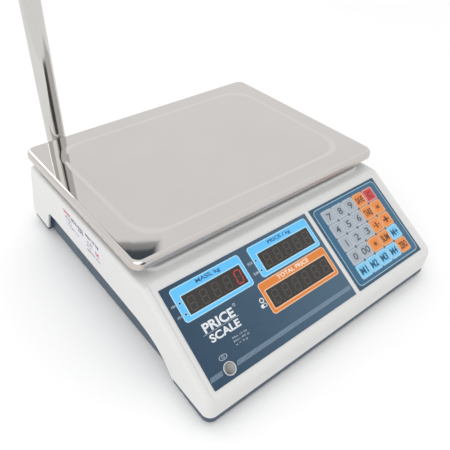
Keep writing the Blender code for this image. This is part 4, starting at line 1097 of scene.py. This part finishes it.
def add_level():
    """Pale ring round a domed vial with a bubble and its aiming circle."""
    x, y = LEVEL_CENTRE
    r = LEVEL_RADIUS
    insets = [(0.25, -6), (0.1, 0.6), (0.15, 1.2), (0.4, 1.55), (0.8, 1.5), (1.05, 1.1), (1.15, 0.3),
              (1.15, -6)]
    ring = turned([(r - inset * MM, z * MM) for inset, z in insets], x, y, closed=True)
    piece("level_ring", ring, "level_ring", PANEL, replaces=["bubble_level"])
    inner = r - 1.3 * MM
    dome = [(inner, -5.5 * MM)]
    dome += [(inner * math.cos(angle), 0.2 * MM + 1.0 * MM * math.sin(angle)) for angle in arc(9)[:-1]]
    piece("level_liquid", turned(dome, x, y), "level_liquid", PANEL)
    mark = [circle(x, y, radius * MM) for radius in (2.6, 2.45)]
    piece("level_mark", frame_slab(*mark, 1.0 * MM, 1.06 * MM), "black_rubber", PANEL)
    bubble = [(1.9 * MM * math.cos(angle), 1.1 * MM + 0.35 * MM * math.sin(angle)) for angle in arc(6)[:-1]]
    piece("level_bubble", turned(bubble, x + 0.7 * MM, y + 0.5 * MM, 32), "level_liquid", PANEL)


# ---------------------------------------------------------------- side label and rear

LABEL = scaled(169.5, 256.5, 52, 80.5)
# Words on the label: text, x from its left edge, y down from its top edge, height and width.
LABEL_WORDS = {
    "black": [
        ("RETAIL SCALE", 34, 6.4, 4.6, 26), ("Max 15 kg", 66.5, 5.6, 5.2, 27),
        ("Min 40 g", 12.5, 11.8, 3.0, 14), ("CLASS III", 41, 10.8, 2.6, 12), ("e = 5 g", 12, 16.6, 3.0, 13),
        ("d = 5 g", 13, 21.5, 2.4, 12), ("230 V  50 Hz", 27, 20.5, 1.8, 16),
        ("0 / +40 C", 60.5, 13.4, 2.4, 12), ("12 V  1 A", 57.5, 18.8, 2.8, 9),
        ("SERIAL No.", 66, 25.2, 2.2, 28),
    ],
    "red": [("CHECKED", 11, 4.6, 4.4, 17), ("OK", 75, 17.4, 6.0, 9)],
}
LABEL_INKS = {"black": "label_ink", "red": "label_red"}


def add_side_label():
    """Rating label on the left wall."""
    y0, y1, z0, z1 = LABEL
    turn = Matrix(((0, 0, -1, 0), (-1, 0, 0, 0), (0, 1, 0, 0), (0, 0, 0, 1)))
    space = BODY @ Matrix.Translation((-BODY_WIDTH / 2, y1, z1)) @ turn
    thick = 0.06 * MM
    sheet = rounded_outline(0, y1 - y0, z0 - z1, 0, 1.2 * MM)
    piece("side_label", slab(sheet, 0, thick), "label_paper", space)
    for name, words in LABEL_WORDS.items():
        rows = [(*word, 0.05) for word in words]
        place_letters(f"side_label_{name}_words", rows, LABEL_INKS[name], thick, space)


# The rocker's side outline, and how far its ends are rounded, in millimetres.
ROCKER_OUTLINE = [(-7.3, -2.2), (7.3, -2.2), (7.3, 2.5), (6.9, 2.75), (3.4, 2.0), (0, 1.6), (-3.4, 2.0),
                  (-6.9, 2.75), (-7.3, 2.5)]
ROCKER_ENDS = ((0.3, -4.8), (0, -4.5), (0, 4.5), (0.3, 4.8))


def add_switch():
    x = SWITCH_PLACE
    rim = (x - 11 * MM, x + 11 * MM, -8 * MM, 8 * MM)
    wide, narrow = inside(rim, 0, 1.6 * MM), inside(rim, 0.6 * MM, 1.2 * MM)
    rings = [raised(wide, 0.3 * MM), raised(wide, 1.4 * MM), raised(narrow, 2 * MM)]
    switch = as_object("power_switch_frame", loft(rings), REAR)
    carve(switch, block(x, 0, 9.4, 6.4, -16, 1), REAR, "UNION")
    carve(switch, block(x, 0, 7.8, 5.2, -6, 4), REAR)
    dress(switch, "black_plastic", replaces=["power_switch_body"])
    tilted = REAR @ Matrix.Translation((x, 0, 0.5 * MM)) @ Matrix.Rotation(-ROCKER_TILT, 4, "Y")
    rows = []
    for inset, y in ROCKER_ENDS:
        rows.append([(px * MM * (1 - inset / 8), y * MM, (pz - inset * (pz > 0)) * MM)
                     for px, pz in ROCKER_OUTLINE])
    piece("rocker_paddle", loft(rows), "red_key", tilted, "power_rocker", ["power_rocker"])
    signs = box(*scaled(3.6, 6.0, -0.3, 0.3, 2.2, 2.7))
    frame_slab(circle(-4.8 * MM, 0, 1.3 * MM), circle(-4.8 * MM, 0, 0.85 * MM), 2.1 * MM, 2.5 * MM, signs)
    piece("rocker_signs", signs, "pale_letters", tilted, "power_rocker")


def add_socket():
    shell = turned(profile_mm(SOCKET_PROFILE), SOCKET_PLACE, 0, closed=True)
    piece("socket_shell", shell, "black_plastic", REAR, replaces=["power_socket"])
    pin = profile_mm([(1, -11.5), (1, -1.6), (0.6, -1.1)])
    piece("socket_pin", turned(pin, SOCKET_PLACE, 0, 24), "zinc_steel", REAR)


# ---------------------------------------------------------------- mast and head

def add_mast():
    """Steel tube with a collar under the head."""
    outer, inner = MAST_RADIUS, MAST_RADIUS - 1.2 * MM
    collar = [(0, -6), (2.6, -6), (3, -5.4), (3, -0.9), (2.6, -0.3), (0, -0.3)]
    tube = [(inner, MAST_FOOT), (outer, MAST_FOOT)]
    tube += [(outer + out * MM, HEAD_BOTTOM + z * MM) for out, z in collar]
    tube += [(outer, MAST_TOP), (inner, MAST_TOP)]
    piece("mast_pipe", turned(tube, *MAST_AXIS, 96, closed=True), "mast_steel", replaces=["mast_tube"])


def head_shell(name, toward, look, node):
    """One half of the head. Its split lies at y 0, and toward is 1 for the customer's side."""
    bounds = (*HEAD_X, HEAD_BOTTOM, HEAD_TOP)
    face = HEAD_Y[1] if toward > 0 else HEAD_Y[0]
    depth = [(0.4, toward * 0.15 * MM), (0, toward * 0.55 * MM), (0, face - toward * 4 * MM)]
    for angle in arc(8)[1:]:
        depth.append((4 * (1 - math.cos(angle)), face - toward * 4 * MM * (1 - math.sin(angle))))
    cover = as_object(name, upright([(inside(bounds, inset * MM, 8 * MM - inset * MM, 8), y)
                                     for inset, y in depth]), HEAD)
    wall = 2 * MM
    line = inside(bounds, wall, 6 * MM, 8)
    carve(cover, upright([(line, -toward * 1 * MM), (line, face - toward * wall * 1.3)]), HEAD)
    carve(cover, cylinder(0, 0, HEAD_BOTTOM - 5 * MM, HEAD_BOTTOM + 8 * MM, MAST_RADIUS + 0.4 * MM, 64), HEAD)
    if toward > 0:
        x0, x1, z0, z1 = HEAD_WINDOW
        carve(cover, box(x0, x1, face - 6 * MM, face + 3 * MM, z0, z1), HEAD)
    dress(cover, look, "head", [node], weighted=True)


def upright(sections):
    """Solid through upright outlines, each with its y."""
    return loft([[(x, y, z) for x, z in line] for line, y in sections])


def add_head():
    head_shell("head_front_shell", 1, "white_abs", "head_front_cover")
    head_shell("head_back_shell", -1, "white_abs", "head_back_cover")
    x0, x1, z0, z1 = HEAD_WINDOW
    # On the customer's side x runs the other way.
    left, right = -x1, -x0
    window = (left, right, z0, z1)
    pane, depth = -0.6 * MM, 0.02 * MM
    glass = slab(inside(window, 0.3 * MM, 0.4 * MM), -2.4 * MM, pane)
    piece("head_pane", glass, "head_window_smoke", HEAD_FACE, "head", ["head_window"])
    digits = [(right - 12 * MM - number * 14.8 * MM, (z0 + z1) / 2) for number in range(8)]
    add_digits("head", digits, pane, -0.56 * MM, HEAD_FACE, "head", 1.25)
    rim_out = rounded_outline(left - 5 * MM, right + 5 * MM, z0 - 5 * MM, z1 + 8 * MM, 3 * MM)
    rim = frame_slab(rim_out, inside(window, -0.4 * MM, 0.5 * MM), -depth, 0.0)
    piece("head_print", rim, "display_film", HEAD_FACE, "head")
    words = [("TOTAL PRICE", (left + right) / 2 / MM, -(z1 / MM + 4), 4, 40, 0.02)]
    place_letters("head_words", words, "pale_letters", -depth, HEAD_FACE, "head")


# ---------------------------------------------------------------- pieces that keep their solids

# Material of each slot whose name differs from it.
SLOT_LOOKS = {
    "white_plastic": "white_abs", "navy_plastic": "navy_abs", "polished_steel": "mast_steel",
    "stainless_steel": "platter_steel", "smoked_window": "head_window_smoke", "level_vial": "level_ring",
}


def dress_kept_nodes():
    for entry in frame["record"]["subparts"]:
        node = frame["nodes"][entry["node"]]
        slot = entry["material_slot"]
        node.data.materials.clear()
        node.data.materials.append(LOOKS[SLOT_LOOKS.get(slot, slot)][0])


# ---------------------------------------------------------------- stage

def add_floor():
    look = Look("floor", "white_plastic", 0.75)
    look.paint(look.blend(look.spread(look.noise(3, 3), 0, 1), (0.955, 0.955, 0.955), (0.975, 0.975, 0.975)))
    # It reaches past everything that the picture shows, and ends half a metre in front of the scale.
    floor = as_object("floor", slab(circle(0.45, 1.05, 1.6, 128), -0.01, 0), Matrix())
    floor.data.materials.append(look.material)


def lean(tree, direction, turn, rise):
    """How far a direction leans towards a bearing and height given in degrees."""
    turn, rise = math.radians(turn), math.radians(rise)
    dot = tree.nodes.new("ShaderNodeVectorMath")
    dot.operation = "DOT_PRODUCT"
    dot.inputs[1].default_value = (math.cos(turn) * math.cos(rise), math.sin(turn) * math.cos(rise),
                                   math.sin(rise))
    tree.links.new(direction, dot.inputs[0])
    return dot.outputs["Value"]


def add_world():
    """White studio. Its dark spot in front and dark gap over the backdrop are there for the steel."""
    world = bpy.data.worlds.new("studio")
    bpy.context.scene.world = world
    world.use_nodes = True
    tree = world.node_tree
    background = tree.nodes["Background"]
    direction = tree.nodes.new("ShaderNodeTexCoord").outputs["Generated"]

    def ramp(value, low, high, at_low, at_high):
        return remap(tree, value, low, high, at_low, at_high, "SMOOTHSTEP")

    front = ramp(lean(tree, direction, 266, 22), 0.875, 0.960, 1.0, 0.12)
    height = lean(tree, direction, 0, 90)
    above = ramp(height, 0.661, 0.665, 1.0, 0.36)
    higher = ramp(height, 0.673, 0.677, 1.0, 0.26)
    top = ramp(height, 0.75, 0.80, 0.0, 1.0)
    gap = combine(tree, "MAXIMUM", combine(tree, "MULTIPLY", above, higher), top)
    left = ramp(lean(tree, direction, 166, 0), -0.02, 0.02, 0.0, 1.0)
    right = ramp(lean(tree, direction, 147.6, 0), -0.004, 0.02, 1.0, 0.0)
    gap = combine(tree, "MAXIMUM", gap, combine(tree, "MAXIMUM", left, right))
    strength = combine(tree, "MULTIPLY", front, gap)
    # The camera itself sees plain white.
    seen = tree.nodes.new("ShaderNodeLightPath").outputs["Is Camera Ray"]
    tree.links.new(combine(tree, "MAXIMUM", strength, seen), background.inputs["Strength"])
    # The gap is bluish, the rest neutral.
    tint = mix(tree, ramp(gap, 0.10, 0.25, 0.0, 1.0), (0.80, 1.0, 1.20), (1.0, 1.0, 1.0))
    tree.links.new(tint, background.inputs["Color"])


def add_light(name, place, target, size, power):
    data = bpy.data.lights.new(name, "AREA")
    data.shape = "DISK"
    data.size = size
    data.energy = power
    lamp = bpy.data.objects.new(name, data)
    bpy.context.scene.collection.objects.link(lamp)
    lamp.location = place
    lamp.rotation_euler = (Vector(target) - Vector(place)).to_track_quat("-Z", "Y").to_euler()


CAMERA_PLACE = (-0.3036, -0.3479, 0.4132)
# Turn to the right, tilt from straight down, and roll, in degrees.
CAMERA_TURNS = ((-38.47, "Z"), (90 - 40.16, "X"), (1.34, "Z"))


def add_camera():
    data = bpy.data.cameras.new("camera")
    data.sensor_width = 36
    data.lens = 39.61
    data.shift_x = 0.0516
    data.shift_y = 0.0076
    camera = bpy.data.objects.new("camera", data)
    bpy.context.scene.collection.objects.link(camera)
    view = Matrix.Translation(CAMERA_PLACE)
    for degrees, axis in CAMERA_TURNS:
        view = view @ Matrix.Rotation(math.radians(degrees), 4, axis)
    camera.matrix_world = view
    bpy.context.scene.camera = camera


def main():
    add_camera()
    add_world()
    add_light("key", (-1.0, -0.8, 1.5), (0, 0, 0.05), 2.2, 8.5)
    add_light("back", (-0.2, 2.7, 1.6), (0.5, 1.2, 0), 1.2, 7)
    add_floor()
    make_looks()
    dress_kept_nodes()
    for add in (add_housing, add_base, add_feet, add_case_screws, add_platter, add_films, add_windows,
                add_prints, add_keys, add_level, add_side_label, add_switch, add_socket, add_mast, add_head):
        add()
    bpy.context.scene.view_settings.view_transform = "Standard"


main()
